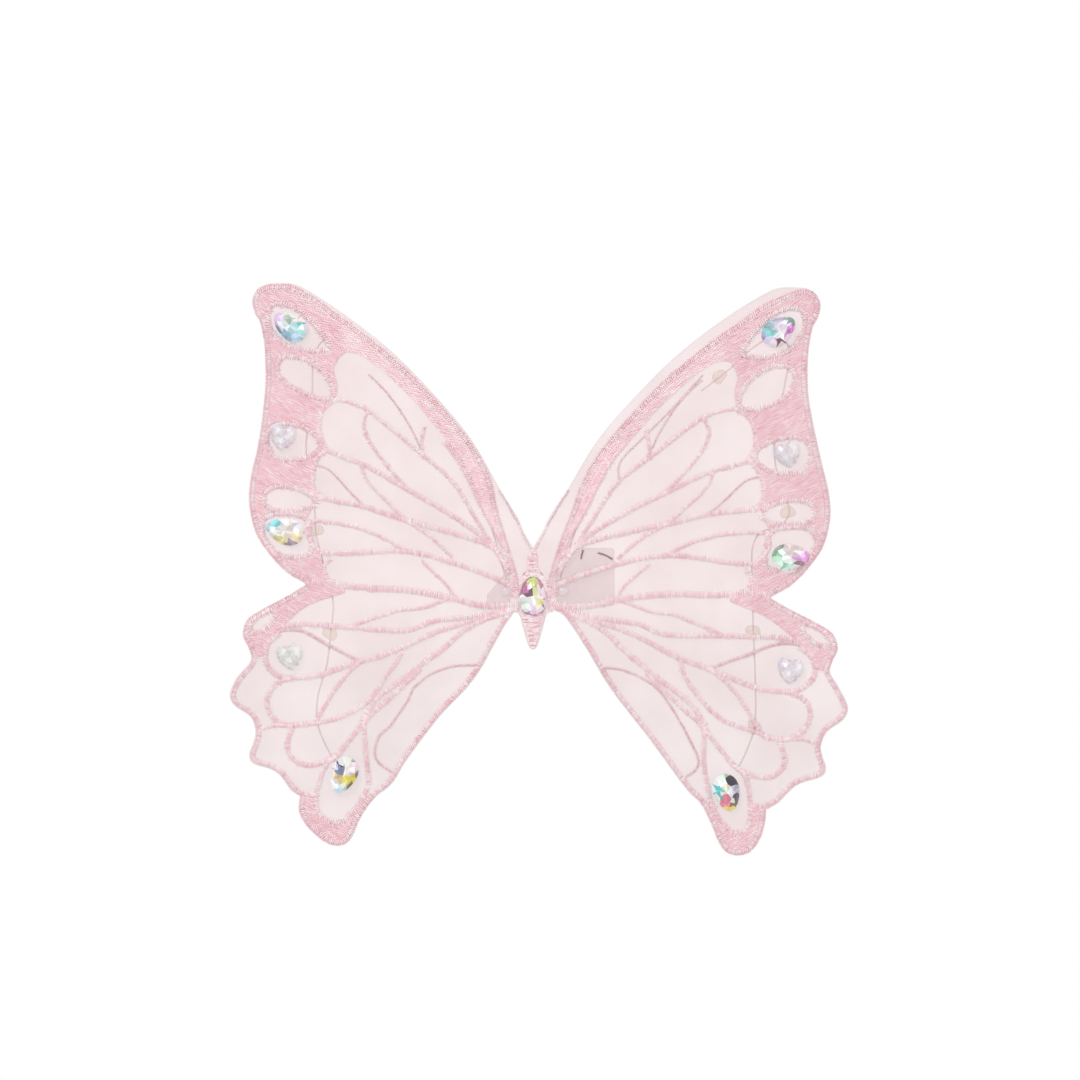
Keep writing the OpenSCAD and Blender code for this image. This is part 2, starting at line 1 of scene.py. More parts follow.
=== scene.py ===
import math
import bpy
import numpy as np
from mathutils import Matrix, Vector, geometry


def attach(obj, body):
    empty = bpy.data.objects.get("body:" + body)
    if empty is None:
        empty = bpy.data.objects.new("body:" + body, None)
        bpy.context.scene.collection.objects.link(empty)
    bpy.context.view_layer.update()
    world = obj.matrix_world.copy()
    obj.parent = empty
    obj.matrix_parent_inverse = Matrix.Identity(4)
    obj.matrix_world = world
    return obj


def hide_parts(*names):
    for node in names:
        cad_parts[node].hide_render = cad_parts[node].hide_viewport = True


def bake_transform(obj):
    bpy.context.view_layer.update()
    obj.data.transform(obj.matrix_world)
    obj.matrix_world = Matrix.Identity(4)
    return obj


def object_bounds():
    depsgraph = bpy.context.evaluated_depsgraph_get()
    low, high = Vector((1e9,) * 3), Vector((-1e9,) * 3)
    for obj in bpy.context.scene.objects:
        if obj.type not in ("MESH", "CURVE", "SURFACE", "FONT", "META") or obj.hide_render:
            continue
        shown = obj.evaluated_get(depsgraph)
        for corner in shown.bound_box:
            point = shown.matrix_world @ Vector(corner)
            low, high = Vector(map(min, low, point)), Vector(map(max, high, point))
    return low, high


# Butterfly costume wings: sheer organza, satin stitching, glued stones and shaping wires,
# dressed over the working model. Flat drawings are in millimetres, meshes in metres.
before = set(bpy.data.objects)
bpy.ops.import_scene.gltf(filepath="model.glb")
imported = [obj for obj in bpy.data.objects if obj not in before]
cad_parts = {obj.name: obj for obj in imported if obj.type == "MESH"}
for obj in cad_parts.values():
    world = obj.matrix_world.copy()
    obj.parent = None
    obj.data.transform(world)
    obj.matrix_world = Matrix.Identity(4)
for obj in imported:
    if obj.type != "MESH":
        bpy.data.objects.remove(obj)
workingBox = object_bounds()
mm = 0.001
right, left = 1, -1
sides = {"right": right, "left": left}
mapName = "OFBake"
chance = np.random.default_rng(11)

# camera, light and floor
studio = {
    "cameraAt": (3.35, -3004.0, 27.2),  # mm, level with the middle of the view
    "viewAcross": 516.2,  # mm of the object's plane that the picture spans
    "sensor": 36.0,
    "floorDrop": 180.0,  # mm from the lowest lobe down to the floor
    "floorRadius": 420.0,
    "surround": 0.68,  # how strongly the white room lights the object
    "keyWatts": 17.5,
    "fillWatts": 4.0,
}


def makeStudio(s):
    scene = bpy.context.scene
    lens = bpy.data.cameras.new("view")
    lens.sensor_width = s["sensor"]
    lens.lens = s["sensor"] * -s["cameraAt"][1] / s["viewAcross"]
    lens.clip_end = 20
    camera = bpy.data.objects.new("view", lens)
    camera.location = Vector(s["cameraAt"]) * mm
    camera.rotation_euler = (math.pi / 2, 0, 0)
    scene.collection.objects.link(camera)
    scene.camera = camera
    scene.view_settings.view_transform = "Standard"

    room = bpy.data.worlds.new("whiteRoom")
    scene.world = room
    room.use_nodes = True
    nodes, link = room.node_tree.nodes, room.node_tree.links.new
    nodes.clear()
    out = nodes.new("ShaderNodeOutputWorld")
    seen, lit = nodes.new("ShaderNodeBackground"), nodes.new("ShaderNodeBackground")
    seen.inputs["Color"].default_value = lit.inputs["Color"].default_value = (1, 1, 1, 1)
    lit.inputs["Strength"].default_value = s["surround"]
    path, mix = nodes.new("ShaderNodeLightPath"), nodes.new("ShaderNodeMixShader")
    link(path.outputs["Is Camera Ray"], mix.inputs["Fac"])
    link(lit.outputs[0], mix.inputs[1])
    link(seen.outputs[0], mix.inputs[2])
    link(mix.outputs[0], out.inputs["Surface"])

    def softbox(name, watts, size, at, aim=(0, 0, 20)):
        light = bpy.data.lights.new(name, "AREA")
        light.energy, light.size = watts, size * mm
        lamp = bpy.data.objects.new(name, light)
        lamp.location = Vector(at) * mm
        lamp.rotation_euler = (Vector(at) - Vector(aim)).to_track_quat("Z", "Y").to_euler()
        scene.collection.objects.link(lamp)

    softbox("keyLight", s["keyWatts"], 700, (-900, -1300, 1200))
    softbox("fillLight", s["fillWatts"], 900, (1300, -900, 300))
    softbox("backLight", s["fillWatts"], 900, (300, 1500, 900))

    turns = np.linspace(0, 2 * math.pi, 97)[:-1]
    rim = [(s["floorRadius"] * math.cos(a), s["floorRadius"] * math.sin(a)) for a in turns]
    low = workingBox[0].z / mm - s["floorDrop"]
    points = [(x * mm, y * mm, low * mm) for x, y in rim]
    points += [(x * mm, y * mm, (low - 8) * mm) for x, y in rim]
    count = len(rim)
    faces = [list(range(count)), list(range(2 * count - 1, count - 1, -1))]
    faces += [[i, i + count, (i + 1) % count + count, (i + 1) % count] for i in range(count)]
    mesh = bpy.data.meshes.new("studioFloor")
    mesh.from_pydata(points, [], faces)
    floor = bpy.data.objects.new("studioFloor", mesh)
    scene.collection.objects.link(floor)
    paint, tree, main = newMaterial("floorPaint")
    noise = speckle(tree, 14.0, 3)
    toned = ramped(tree, noise.outputs["Fac"], [(0.3, "#efecec"), (0.7, "#f8f6f6")])
    tree.links.new(toned, main.inputs["Base Color"])
    main.inputs["Roughness"].default_value = 0.8
    mesh.materials.append(paint)


# small helpers for materials
def colourOf(text):
    parts = [int(text[i:i + 2], 16) / 255 for i in (1, 3, 5)]
    return [c / 12.92 if c <= 0.04045 else ((c + 0.055) / 1.055) ** 2.4 for c in parts] + [1]


def newMaterial(name):
    made = bpy.data.materials.new(name)
    made.use_nodes = True
    tree = made.node_tree
    tree.nodes.clear()
    out = tree.nodes.new("ShaderNodeOutputMaterial")
    main = tree.nodes.new("ShaderNodeBsdfPrincipled")
    tree.links.new(main.outputs[0], out.inputs["Surface"])
    return made, tree, main


def speckle(tree, scale, detail=2, stretch=None):
    # noise fixed to the piece, scale in waves per metre
    place = tree.nodes.new("ShaderNodeTexCoord")
    noise = tree.nodes.new("ShaderNodeTexNoise")
    noise.inputs["Scale"].default_value = scale
    noise.inputs["Detail"].default_value = detail
    source = place.outputs["Object"]
    if stretch:
        mapping = tree.nodes.new("ShaderNodeMapping")
        mapping.inputs["Scale"].default_value = stretch
        tree.links.new(source, mapping.inputs["Vector"])
        source = mapping.outputs["Vector"]
    tree.links.new(source, noise.inputs["Vector"])
    return noise


def ramped(tree, source, stops):
    ramp = tree.nodes.new("ShaderNodeValToRGB")
    while len(ramp.color_ramp.elements) < len(stops):
        ramp.color_ramp.elements.new(0.5)
    for element, (place, tone) in zip(ramp.color_ramp.elements, stops):
        element.position = place
        element.color = colourOf(tone) if isinstance(tone, str) else [tone] * 3 + [1]
    tree.links.new(source, ramp.inputs["Fac"])
    return ramp.outputs["Color"]


def mixed(tree, how, factor, a, b):
    mix = tree.nodes.new("ShaderNodeMix")
    mix.data_type = "RGBA"
    mix.blend_type = how
    colours = {i.name: i for i in mix.inputs if i.type == "RGBA"}
    for socket, value in ((mix.inputs["Factor"], factor), (colours["A"], a), (colours["B"], b)):
        if isinstance(value, (int, float, tuple)):
            socket.default_value = value
        else:
            tree.links.new(value, socket)
    return [o for o in mix.outputs if o.type == "RGBA"][0]


def mapOf(tree):
    # the piece's own map, and its two directions apart
    mapped = tree.nodes.new("ShaderNodeUVMap")
    mapped.uv_map = mapName
    split = tree.nodes.new("ShaderNodeSeparateXYZ")
    tree.links.new(mapped.outputs["UV"], split.inputs["Vector"])
    return mapped.outputs["UV"], split


def bumped(tree, main, height, strength, distance):
    bump = tree.nodes.new("ShaderNodeBump")
    bump.inputs["Strength"].default_value = strength
    bump.inputs["Distance"].default_value = distance
    tree.links.new(height, bump.inputs["Height"])
    tree.links.new(bump.outputs["Normal"], main.inputs["Normal"])


def calc(tree, how, a, b=0.0):
    node = tree.nodes.new("ShaderNodeMath")
    node.operation = how
    for socket, value in zip(node.inputs, (a, b)):
        if isinstance(value, (int, float)):
            socket.default_value = value
        else:
            tree.links.new(value, socket)
    return node.outputs[0]


# finishes
def threadFinish(name, tones):
    made, tree, main = newMaterial(name)
    _, split = mapOf(tree)
    along, shade = split.outputs["X"], split.outputs["Y"]
    tone = ramped(tree, shade, tones)
    # each stitch darker towards both ends: painted shade where the thread dives into the cloth
    ends = ramped(tree, along, [(0.0, 0.8), (0.14, 0.98), (0.5, 1.0), (0.86, 0.98), (1.0, 0.8)])
    colour = mixed(tree, "MULTIPLY", 1.0, tone, ends)
    tree.links.new(colour, main.inputs["Base Color"])
    twist = calc(tree, "SINE", calc(tree, "MULTIPLY", along, 120.0))
    bumped(tree, main, twist, 0.25, 0.00008)
    gloss = calc(tree, "ADD", calc(tree, "MULTIPLY", twist, 0.05), 0.42)
    tree.links.new(gloss, main.inputs["Roughness"])
    main.inputs["Sheen Weight"].default_value = 0.25
    main.inputs["Sheen Roughness"].default_value = 0.4
    main.inputs["Specular IOR Level"].default_value = 0.55
    return made


def organzaFinish(name, weave):
    made, tree, main = newMaterial(name)
    mapped, split = mapOf(tree)
    turns = 2 * math.pi * weave["mapSide"] / weave["pitch"]
    strands = []
    for axis in "XY":
        wave = calc(tree, "SINE", calc(tree, "MULTIPLY", split.outputs[axis], turns))
        strands.append(calc(tree, "ADD", calc(tree, "MULTIPLY", wave, 0.5), 0.5))
    strand = calc(tree, "MAXIMUM", *strands)
    cloud = tree.nodes.new("ShaderNodeTexNoise")
    cloud.inputs["Scale"].default_value = 9.0
    cloud.inputs["Detail"].default_value = 3.0
    tree.links.new(mapped, cloud.inputs["Vector"])
    tone = ramped(tree, cloud.outputs["Fac"], [(0.3, weave["deep"]), (0.7, weave["pale"])])
    lower = ramped(tree, split.outputs["Y"], [(0.3, weave["lower"]), (0.5, "#ffffff")])
    tone = mixed(tree, "MULTIPLY", 1.0, tone, lower)
    colour = mixed(tree, "MULTIPLY", 0.35, tone,
                   ramped(tree, strand, [(0.2, 0.8), (0.9, 1.0)]))
    tree.links.new(colour, main.inputs["Base Color"])
    weaveCover = ramped(tree, strand, [(0.25, weave["gap"]), (0.95, weave["strand"])])
    thick = ramped(tree, cloud.outputs["Fac"], [(0.3, 1.0), (0.7, 0.86)])
    cover = calc(tree, "MULTIPLY", weaveCover, thick)
    tree.links.new(cover, main.inputs["Alpha"])
    bumped(tree, main, strand, 0.3, 0.0001)
    main.inputs["Roughness"].default_value = 0.5
    main.inputs["Sheen Weight"].default_value = 0.4
    main.inputs["Sheen Roughness"].default_value = 0.35
    return made


def stoneFinish(name, look):
    # the cut's tints with painted reflections and highlights, broken up by the facets behind them, painted
    # lighter and darker
    made, tree, main = newMaterial(name)
    tint = tree.nodes.new("ShaderNodeAttribute")
    tint.attribute_name = "glint"
    mapped = tree.nodes.new("ShaderNodeUVMap")
    mapped.uv_map = mapName
    cells = tree.nodes.new("ShaderNodeTexVoronoi")
    cells.inputs["Scale"].default_value = look["cells"]
    tree.links.new(mapped.outputs["UV"], cells.inputs["Vector"])
    value = tree.nodes.new("ShaderNodeSeparateColor")
    tree.links.new(cells.outputs["Color"], value.inputs["Color"])
    shade = ramped(tree, value.outputs["Red"], [(0.1, look["dark"]), (0.55, 1.0), (0.9, look["bright"])])
    colour = mixed(tree, "MULTIPLY", 1.0, tint.outputs["Color"], shade)
    # some facets flash white: painted highlights
    flash = ramped(tree, value.outputs["Green"], [(0.78, 0.0), (0.8, look["flash"])])
    colour = mixed(tree, "MIX", flash, colour, (1, 1, 1, 1))
    tree.links.new(colour, main.inputs["Base Color"])
    rough = ramped(tree, value.outputs["Blue"], [(0.0, 0.04), (1.0, 0.12)])
    tree.links.new(rough, main.inputs["Roughness"])
    main.inputs["Metallic"].default_value = look["metal"]
    main.inputs["Coat Weight"].default_value = 1.0
    main.inputs["Coat Roughness"].default_value = 0.03
    main.inputs["Alpha"].default_value = look["alpha"]
    return made


def clearFinish(name, look):
    # plastics and glues: a tint, a cover and fine scratches
    made, tree, main = newMaterial(name)
    noise = speckle(tree, look["grain"], 4)
    tone = ramped(tree, noise.outputs["Fac"], [(0.3, look["deep"]), (0.7, look["pale"])])
    tree.links.new(tone, main.inputs["Base Color"])
    cover = ramped(tree, noise.outputs["Fac"], [(0.35, look["cover"] * 0.85), (0.65, look["cover"])])
    tree.links.new(cover, main.inputs["Alpha"])
    rough = ramped(tree, noise.outputs["Fac"], [(0.3, look["rough"]), (0.7, look["rough"] + 0.12)])
    tree.links.new(rough, main.inputs["Roughness"])
    bumped(tree, main, noise.outputs["Fac"], 0.3, 0.0002)
    main.inputs["Coat Weight"].default_value = look["coat"]
    return made


def wireFinish(name, look):
    made, tree, main = newMaterial(name)
    noise = speckle(tree, 900.0, 3, (1, 1, 0.2))
    tone = ramped(tree, noise.outputs["Fac"], [(0.35, look["deep"]), (0.65, look["pale"])])
    tree.links.new(tone, main.inputs["Base Color"])
    rough = ramped(tree, noise.outputs["Fac"], [(0.3, 0.28), (0.7, 0.5)])
    tree.links.new(rough, main.inputs["Roughness"])
    bumped(tree, main, noise.outputs["Fac"], 0.3, 0.0001)
    return made


makeStudio(studio)
print("studio ready")

# the pattern, as drawn for the right wing, in x and height
leadEdge = [[0, 23.5], [4.5, 31], [8, 38.5], [16, 50.5], [31, 75], [50, 97], [70, 116.5], [93, 134],
            [113, 146], [122, 148]]
foreEdge = [[130, 147.6], [135, 145], [137.5, 139.5], [136, 133], [133.5, 128], [131.5, 115], [131.5, 98],
            [134, 82], [138, 64], [141.3, 50], [142, 38], [139, 25], [133, 15.5], [124, 6], [114, 0]]
hindEdge = [[114, -0.8], [124, -6.5], [139, -14.3], [144, -18.6], [145.6, -25], [143, -31], [142, -36],
            [145.5, -42], [149.8, -50], [150.5, -54.5], [148, -59], [140.5, -64.5], [137.6, -71],
            [138.3, -76], [140, -81.7], [137.6, -86], [126, -90], [117, -98.5], [111.5, -101.3]]
lobeEdge = [[111.4, -102], [110.8, -108], [108.5, -115.5], [104, -121.6], [98.5, -123.5], [93, -122.4],
            [89, -118], [85, -108.5], [80, -98.8], [72.5, -91], [56, -68.5], [37.5, -44.5], [25, -24],
            [16, -10.5], [11, -6.8], [5, -6]]
tailEdge = [[9.2, -7.2], [7.6, -7.6], [6.2, -9.4], [5.4, -12.6], [4.2, -17], [2.1, -23.6], [0, -25.4]]
bandOuter = [[5, -2], [7.5, 10], [12.5, 26], [18, 40.5], [23, 54.5], [30, 67], [40.5, 80.5], [51.5, 92.5],
             [64, 105], [76.5, 115.5], [87, 123.8], [97.5, 131], [107.5, 138.3], [116, 142.8], [123, 145.8]]
bandInner = [[10.5, 12], [17.5, 28], [25, 40.5], [31, 52.5], [39, 66], [50, 78.5], [60, 90], [70.5, 100],
             [79, 107], [87, 111.8], [93, 112.5]]
marginInner = [[94.5, 111.5], [97.5, 105], [96, 97], [97.5, 90.5], [103, 86], [106, 79.5], [106, 72],
               [103.8, 65.5], [108, 60], [110.3, 52.5], [109.5, 45], [107.5, 41], [110.5, 36], [113.3, 28],
               [111, 20], [106, 15.5], [105, 9], [103, 3.5]]
windows = [
    [[100.5, 116], [106.5, 126], [114, 133.5], [121.5, 137], [127.5, 136.8], [129.3, 132.4],
     [128.3, 126.2], [122.4, 118.6], [112.8, 115]],
    [[98.8, 91.4], [101.5, 100], [107.6, 106.2], [116.2, 109.6], [122.6, 109], [124.8, 103.4],
     [122.2, 97.8], [115, 92.8], [105.6, 90]],
    [[106.4, 67.6], [112.8, 73.2], [122.4, 75.6], [129.4, 74.2], [132.2, 68], [128.4, 60.8], [118, 59.6],
     [110, 62.4]],
    [[109, 39], [116, 44], [124.3, 45.6], [131.4, 44.6], [134, 40.3], [131.3, 36.2], [120, 35]],
    [[114, 30], [123, 32.6], [132.8, 31.2], [134.6, 24.4], [129, 15.4], [119.5, 13], [111.4, 16]]]
shoulderWindow = [[129.5, -13.5], [135.5, -15.2], [140.5, -19.5], [141, -23], [136.5, -22.4],
                  [131, -18.4]]
shoulderInner = [[94, -2.5], [105.5, -7], [114, -11.5], [121.5, -17.5], [127, -22], [131, -26], [134, -31],
                 [136.5, -35], [142, -35.5]]
lobeWindow = [[82, -64], [81.6, -75.5], [82.6, -86], [85.4, -98.5], [90.6, -108], [96.8, -112.8],
              [103, -108.5], [103.8, -97], [101.4, -86], [95.5, -80], [89, -72]]
foreVeins = [
    [[12, 11], [20.5, 24.5], [28, 36], [40.5, 54.5], [55, 66], [74.5, 81], [83, 86.5], [91, 89], [97.5, 90]],
    [[54, 79.5], [55.5, 72.5], [55, 66]],
    [[81.5, 85.5], [84.2, 79.5], [82.5, 73], [78, 66], [70.5, 57.5], [62, 49]],
    [[96.5, 90], [102.8, 85.8], [106, 79.5], [106, 72], [103, 65]],
    [[12, 14], [23, 26.5], [35.5, 35], [48, 42], [62, 49], [82.5, 58.8], [93, 61.8], [104, 65]],
    [[65.5, 36], [72.5, 42.5], [80, 49], [84.2, 54.5], [86, 60]],
    [[103.5, 65], [107.8, 60], [110.2, 52.5], [109.3, 45], [105.5, 41.5]],
    [[11, 19], [25, 25.5], [45.5, 31], [66.5, 35.3], [85, 39.8], [95, 40.6], [105.5, 42], [112, 44]],
    [[40.5, 18.4], [51, 27.3], [58, 31.5], [66, 36.5]],
    [[10, 5], [25, 11], [45.5, 17], [56, 19], [68.5, 19.8], [81.5, 18.2], [93, 16.5], [106, 15.5]],
    [[64, 20], [72.5, 24.5], [82.5, 28], [93, 30], [103.5, 30.6], [111, 30], [113.2, 25.5], [110.5, 19.5],
     [105.5, 16]],
    [[39, -1], [43.5, 5], [49, 10], [55.5, 15.5]],
    [[101.5, 13], [104.7, 8.7], [102, 3]]]
seamVein = [[5, -3], [8, -3.5], [18.5, -4.6], [29, -4], [39, -1.6], [56, 0.6], [68.5, 1.4], [81.5, 0.8],
            [93, 1], [103, 2], [114, 1]]
hindVeins = [
    [[43, -2], [56, -7], [66.5, -8.4], [74.5, -11.3], [82.5, -14.5], [90, -18]],
    [[7.4, -4.8], [14, -6], [28, -9.6], [49.5, -12.8], [58, -16.5], [66.5, -18.4], [89, -18.6], [103.5, -19],
     [116, -19.5], [126, -21]],
    [[8, -5.6], [13, -6.5], [35.5, -13.5], [48, -18], [66.5, -27.5], [76.5, -31.8], [85, -34.5]],
    [[84, -34.2], [94, -38.4], [103.5, -42.4], [113, -44.6], [123.5, -45.2], [130.5, -42.4],
     [134.8, -36.5], [133.3, -29], [127.5, -24]],
    [[84, -34.2], [90.5, -39.2], [96.5, -45.5], [101.5, -52.5], [106, -60.5], [110, -66]],
    [[70.5, -30], [72, -37], [75.5, -43], [81.5, -50.5], [89, -57.6], [97.5, -61.8], [105.5, -64.2],
     [113, -67.5]],
    [[121, -45], [129, -48.5], [132.4, -55], [130.5, -62], [125, -66.6], [117.5, -68], [111, -66.5]],
    [[119, -68], [128.5, -68], [137, -70]],
    [[14, -6.8], [25, -11], [35.5, -17.5], [43.5, -25.5], [60, -39], [75.5, -51.3], [81, -60],
     [83, -65.5]],
    [[54, -36], [64, -46], [72.5, -54], [79.5, -60.5], [90.5, -74], [96.5, -81], [107.5, -86],
     [115, -85.6], [119.6, -81], [120, -75.5], [117.5, -69]],
    [[103.5, -100], [107.5, -99.5], [111, -101]]]
lobeVein = [[82, -60], [81.6, -75.5], [82.6, -86], [85.4, -98.5], [90.6, -108], [96.8, -112.8],
            [103, -108.5], [103.8, -97], [101.4, -86], [95.5, -80]]
fineVeins = [
    [[1.2, 23.2], [4.6, 29.6], [8, 36.4], [9.4, 38.4], [12.9, 44.6], [17, 50.8]],
    [[56, 69], [61, 79.5], [68.5, 91], [75.5, 99], [80.5, 103.5]],
    [[41, 56], [42, 65], [54, 77.4], [65, 88.5], [77, 101.5], [81, 106]],
    [[85, 40.5], [92, 46.5], [97.5, 52], [102.5, 55.8], [109, 57.6]],
    [[84.5, -34.2], [94, -30.6], [103.5, -27.4], [111, -24.2], [118, -22.4], [126, -22.6], [131, -25.5]],
    [[33, -34], [40.5, -34.4], [49.5, -37.4], [58, -42.6], [64, -49.5], [70.5, -60], [75.5, -69.5],
     [79, -77.5], [77.8, -82.5], [71.5, -87]]]
# widths of the satin veins, in the order of the lists above
foreWidths = [2.2, 2.0, 2.1, 2.8, 2.7, 2.0, 2.8, 3.0, 2.0, 2.9, 2.1, 1.8, 2.6]
fineWidths = [1.3, 1.1, 1.1, 1.2, 2.0, 1.5]
hindWidths = [2.1, 2.9, 3.0, 3.2, 2.2, 2.6, 2.9, 2.2, 3.0, 2.8, 2.4]
# three veins that run their own way on the left wing
leftBranch = [[84, -34.2], [88.5, -39], [92.9, -44.2], [96.8, -49.7], [99.8, -54.4], [102.9, -59.8],
              [107.5, -66.5]]
leftBow = [[63.8, -28.8], [68, -36.3], [70.7, -40], [73.8, -45.2], [79, -52.6], [87.4, -58.3],
           [93.7, -61.8], [100.5, -64.3], [113, -67.5]]
leftTail = [[33.4, -33.2], [41, -33.8], [49.7, -37.9], [54, -41.4], [57.9, -45.2], [60.2, -49.8],
            [62.5, -53.6], [66.4, -59.1], [70.2, -64.4], [74.5, -68.4], [76.5, -72.2], [78.2, -77.5],
            [77, -82.5], [71.5, -87]]
# wires and glue keep their real places, right wing and left wing
ribRoute = {
    right: [[80.5, 98.5], [94, 109], [105, 119], [116, 124.5], [122.5, 118], [120, 100], [115.5, 80],
            [116, 62], [120.5, 48], [122.3, 40], [118, 34], [109, 31], [105, 24], [104.6, 12], [105, -8.5],
            [106.2, -40], [106, -60], [103, -71], [98.5, -81]],
    left: [[-94, 120], [-101, 122], [-105, 112], [-105.5, 96], [-108, 78],
           [-108, 60], [-104.5, 44], [-103.5, 29.5], [-99, 12], [-95.5, -2.5], [-96.5, -16],
           [-98.5, -32.5], [-103, -49], [-102, -63.5], [-94, -80]]}
sparRoute = {
    right: [[12.5, 7], [17, 22], [22, 36], [28, 50], [37, 66], [48, 79.5], [58, 91.5], [67, 101]],
    left: [[-12.5, 7], [-16.5, 22], [-21, 37], [-26, 51], [-34, 66.5], [-44.5, 81.5], [-54.5, 94]]}
ribGlue = {right: [[89, 105.2], [121.6, 40.5], [105.2, -16.5], [105.7, -62]],
           left: [[-107.6, 55], [-103.7, 32], [-97, -17.5]]}
dropAt = {right: (14.5, 2.5), left: (-12.5, 2.5)}
dots = {"radius": 3.5, "high": 2.4}
drop = {"radius": 2.5, "high": 1.3, "clear": 0.25}
stapleThick, stapleDepth = 1.0, -1.35  # it lies between the patch and the cloth
stapleEnds = [[[23, 18], [23.4, 20.4], [24, 22.5]], [[31, 21], [34.4, 20], [38, 18]]]

fabric = {
    "middle": -2.2,  # depth of the cloth's middle, so that its faces stay where the model has them
    "thick": 0.3,
    "edgeWidth": 2.8,
    "veinWidth": 2.8,
    "ringWidth": 3.0,
    "windowGrow": 0.6,
    "hem": 0.3,
    "leftStrip": 3.4,
    "foldStart": 6.8,  # the cloth bends at the fold between these two distances from the middle
    "foldEnd": 9.2,
    "mesh": 2.6,  # mm between the points of the cloth's mesh
    "mapSide": 320.0,  # mm of cloth that its map spans
}
faceAt = fabric["middle"] - fabric["thick"] / 2
backAt = fabric["middle"] + fabric["thick"] / 2
wireDiameter = 0.86


def ease(a, b, value):
    t = np.clip((value - a) / (b - a), 0, 1)
    return t * t * (3 - 2 * t)


def curve(points, closed=False, step=1.2):
    p = np.array(points, float)
    n = len(p)
    found = []
    for i in range(n if closed else n - 1):
        a = p[i - 1] if closed or i else p[0]
        b, c = p[i], p[(i + 1) % n]
        d = p[(i + 2) % n] if closed else p[min(i + 2, n - 1)]
        count = max(1, round(np.linalg.norm(c - b) / step))
        t = (np.arange(count) / count)[:, None]
        found.append(0.5 * (2 * b + (c - a) * t + (2 * a - 5 * b + 4 * c - d) * t ** 2
                            + (3 * b - a - 3 * c + d) * t ** 3))
    if not closed:
        found.append(p[-1:])
    return np.concatenate(found)


def placed(points, side):
    p = np.array(points, float)
    if side == right:
        return p
    x, z = p[:, 0], p[:, 1]
    u = x + 0.8 * z
    lobeDraw = ease(10, 40, -z) * (3 - 5.5 * ease(3, 27, u) + 3.5 * ease(60, 110, u)) - 4 * ease(88, 112, -z)
    rootDraw = 5 * ease(2, 10, -z) * (1 - ease(3, 22, u)) * (1 - ease(8, 60, -z))
    rimDraw = (-1.8 * ease(42, 60, -z) * (1 - ease(80, 95, -z)) * (1 - ease(3, 27, u))
               - 2 * ease(38, 46, -z) * ease(92, 107, u))
    pulled = x - x * (0.045 - 0.02 * ease(60, 110, z)) - lobeDraw - rootDraw - rimDraw
    lifted = z + 6.5 * (np.minimum(x, 115) / 115) ** 2 * (1 - 0.7 * ease(85, 140, z))
    return np.stack([-pulled, lifted], 1)


def pushed(points, side, amount):
    p = np.array(points, float)
    out = np.array([-0.66, 0.75])
    return p + out * (ease(30, 60, p[:, 1]) * (amount if side == left else 0))[:, None]


def lie(p):
    # how far the cloth swells back from its flat place, none near the body, patches and folds
    x, z = np.abs(p[..., 0]), p[..., 1]
    hand = np.where(p[..., 0] > 0, 0.0, 1.7)
    calm = ease(34, 100, x)
    return calm * (0.95 * np.sin(x / 15 + z / 23 + hand) + 0.5 * np.sin(x / 9 - z / 19 + 2 * hand)
                   + 0.35 * np.sin(z / 8 + hand))


def passing(p, tests):
    # which points pass every test, each asked only about those still left
    left = np.arange(len(p))
    for test in tests:
        left = left[test(p[left])]
    found = np.zeros(len(p), bool)
    found[left] = True
    return found


def inside(p, outline):
    low, high = outline.min(0), outline.max(0)
    near = np.flatnonzero(((p > low) & (p < high)).all(1))
    q = p[near]
    held = np.zeros(len(q), bool)
    for (ax, az), (bx, bz) in zip(outline, np.roll(outline, -1, 0)):
        if az == bz:
            continue
        crosses = (az > q[:, 1]) != (bz > q[:, 1])
        held ^= crosses & (q[:, 0] < (bx - ax) * (q[:, 1] - az) / (bz - az) + ax)
    found = np.zeros(len(p), bool)
    found[near[held]] = True
    return found


def within(area):
    return lambda p: inside(p, area)


def beyond(area):
    return lambda p: ~inside(p, area)


def gapTo(p, line, closed=True):
    a = line if closed else line[:-1]
    b = np.roll(line, -1, 0) if closed else line[1:]
    best = np.full(len(p), 1e9)
    for s, e in zip(a, b):
        d = e - s
        size = d @ d
        if size < 1e-12:
            continue
        t = np.clip((p - s) @ d / size, 0, 1)
        best = np.minimum(best, ((p - s - t[:, None] * d) ** 2).sum(1))
    return np.sqrt(best)


def evenly(line, pitch, closed=False):
    if closed:
        line = np.concatenate([line, line[:1]])
    steps = np.linalg.norm(np.diff(line, axis=0), axis=1)
    travelled = np.concatenate([[0], np.cumsum(steps)])
    count = max(2, int(travelled[-1] / pitch))
    at = np.linspace(0, travelled[-1], count, endpoint=not closed)

    def along(at):
        return np.stack([np.interp(at, travelled, line[:, k]) for k in (0, 1)], 1)

    points, whole, near = along(at), travelled[-1], 0.4
    ahead = (at + near) % whole if closed else np.minimum(at + near, whole)
    behind = (at - near) % whole if closed else np.maximum(at - near, 0)
    run = along(ahead) - along(behind)
    run /= np.maximum(np.linalg.norm(run, axis=1), 1e-9)[:, None]
    return points, run


def turning(line):
    # twice the area inside a closed line, above zero when it runs anticlockwise
    x, z = line.T
    return (x * np.roll(z, -1) - np.roll(x, -1) * z).sum()


def clockwise(line):
    return line if turning(line) < 0 else line[::-1]


def shifted(outline, amount):
    # a closed outline grown outwards
    run = np.roll(outline, -1, 0) - np.roll(outline, 1, 0)
    normal = np.stack([run[:, 1], -run[:, 0]], 1) / np.linalg.norm(run, axis=1)[:, None]
    return outline + normal * amount * np.sign(turning(outline))


def solid(flat, height, lifted=None):
    # points of a flat drawing, raised towards the front, in the model's frame
    depth = faceAt + (lie(flat) if lifted is None else lifted) - height
    return np.stack([flat[..., 0], depth, flat[..., 1]], -1) * mm


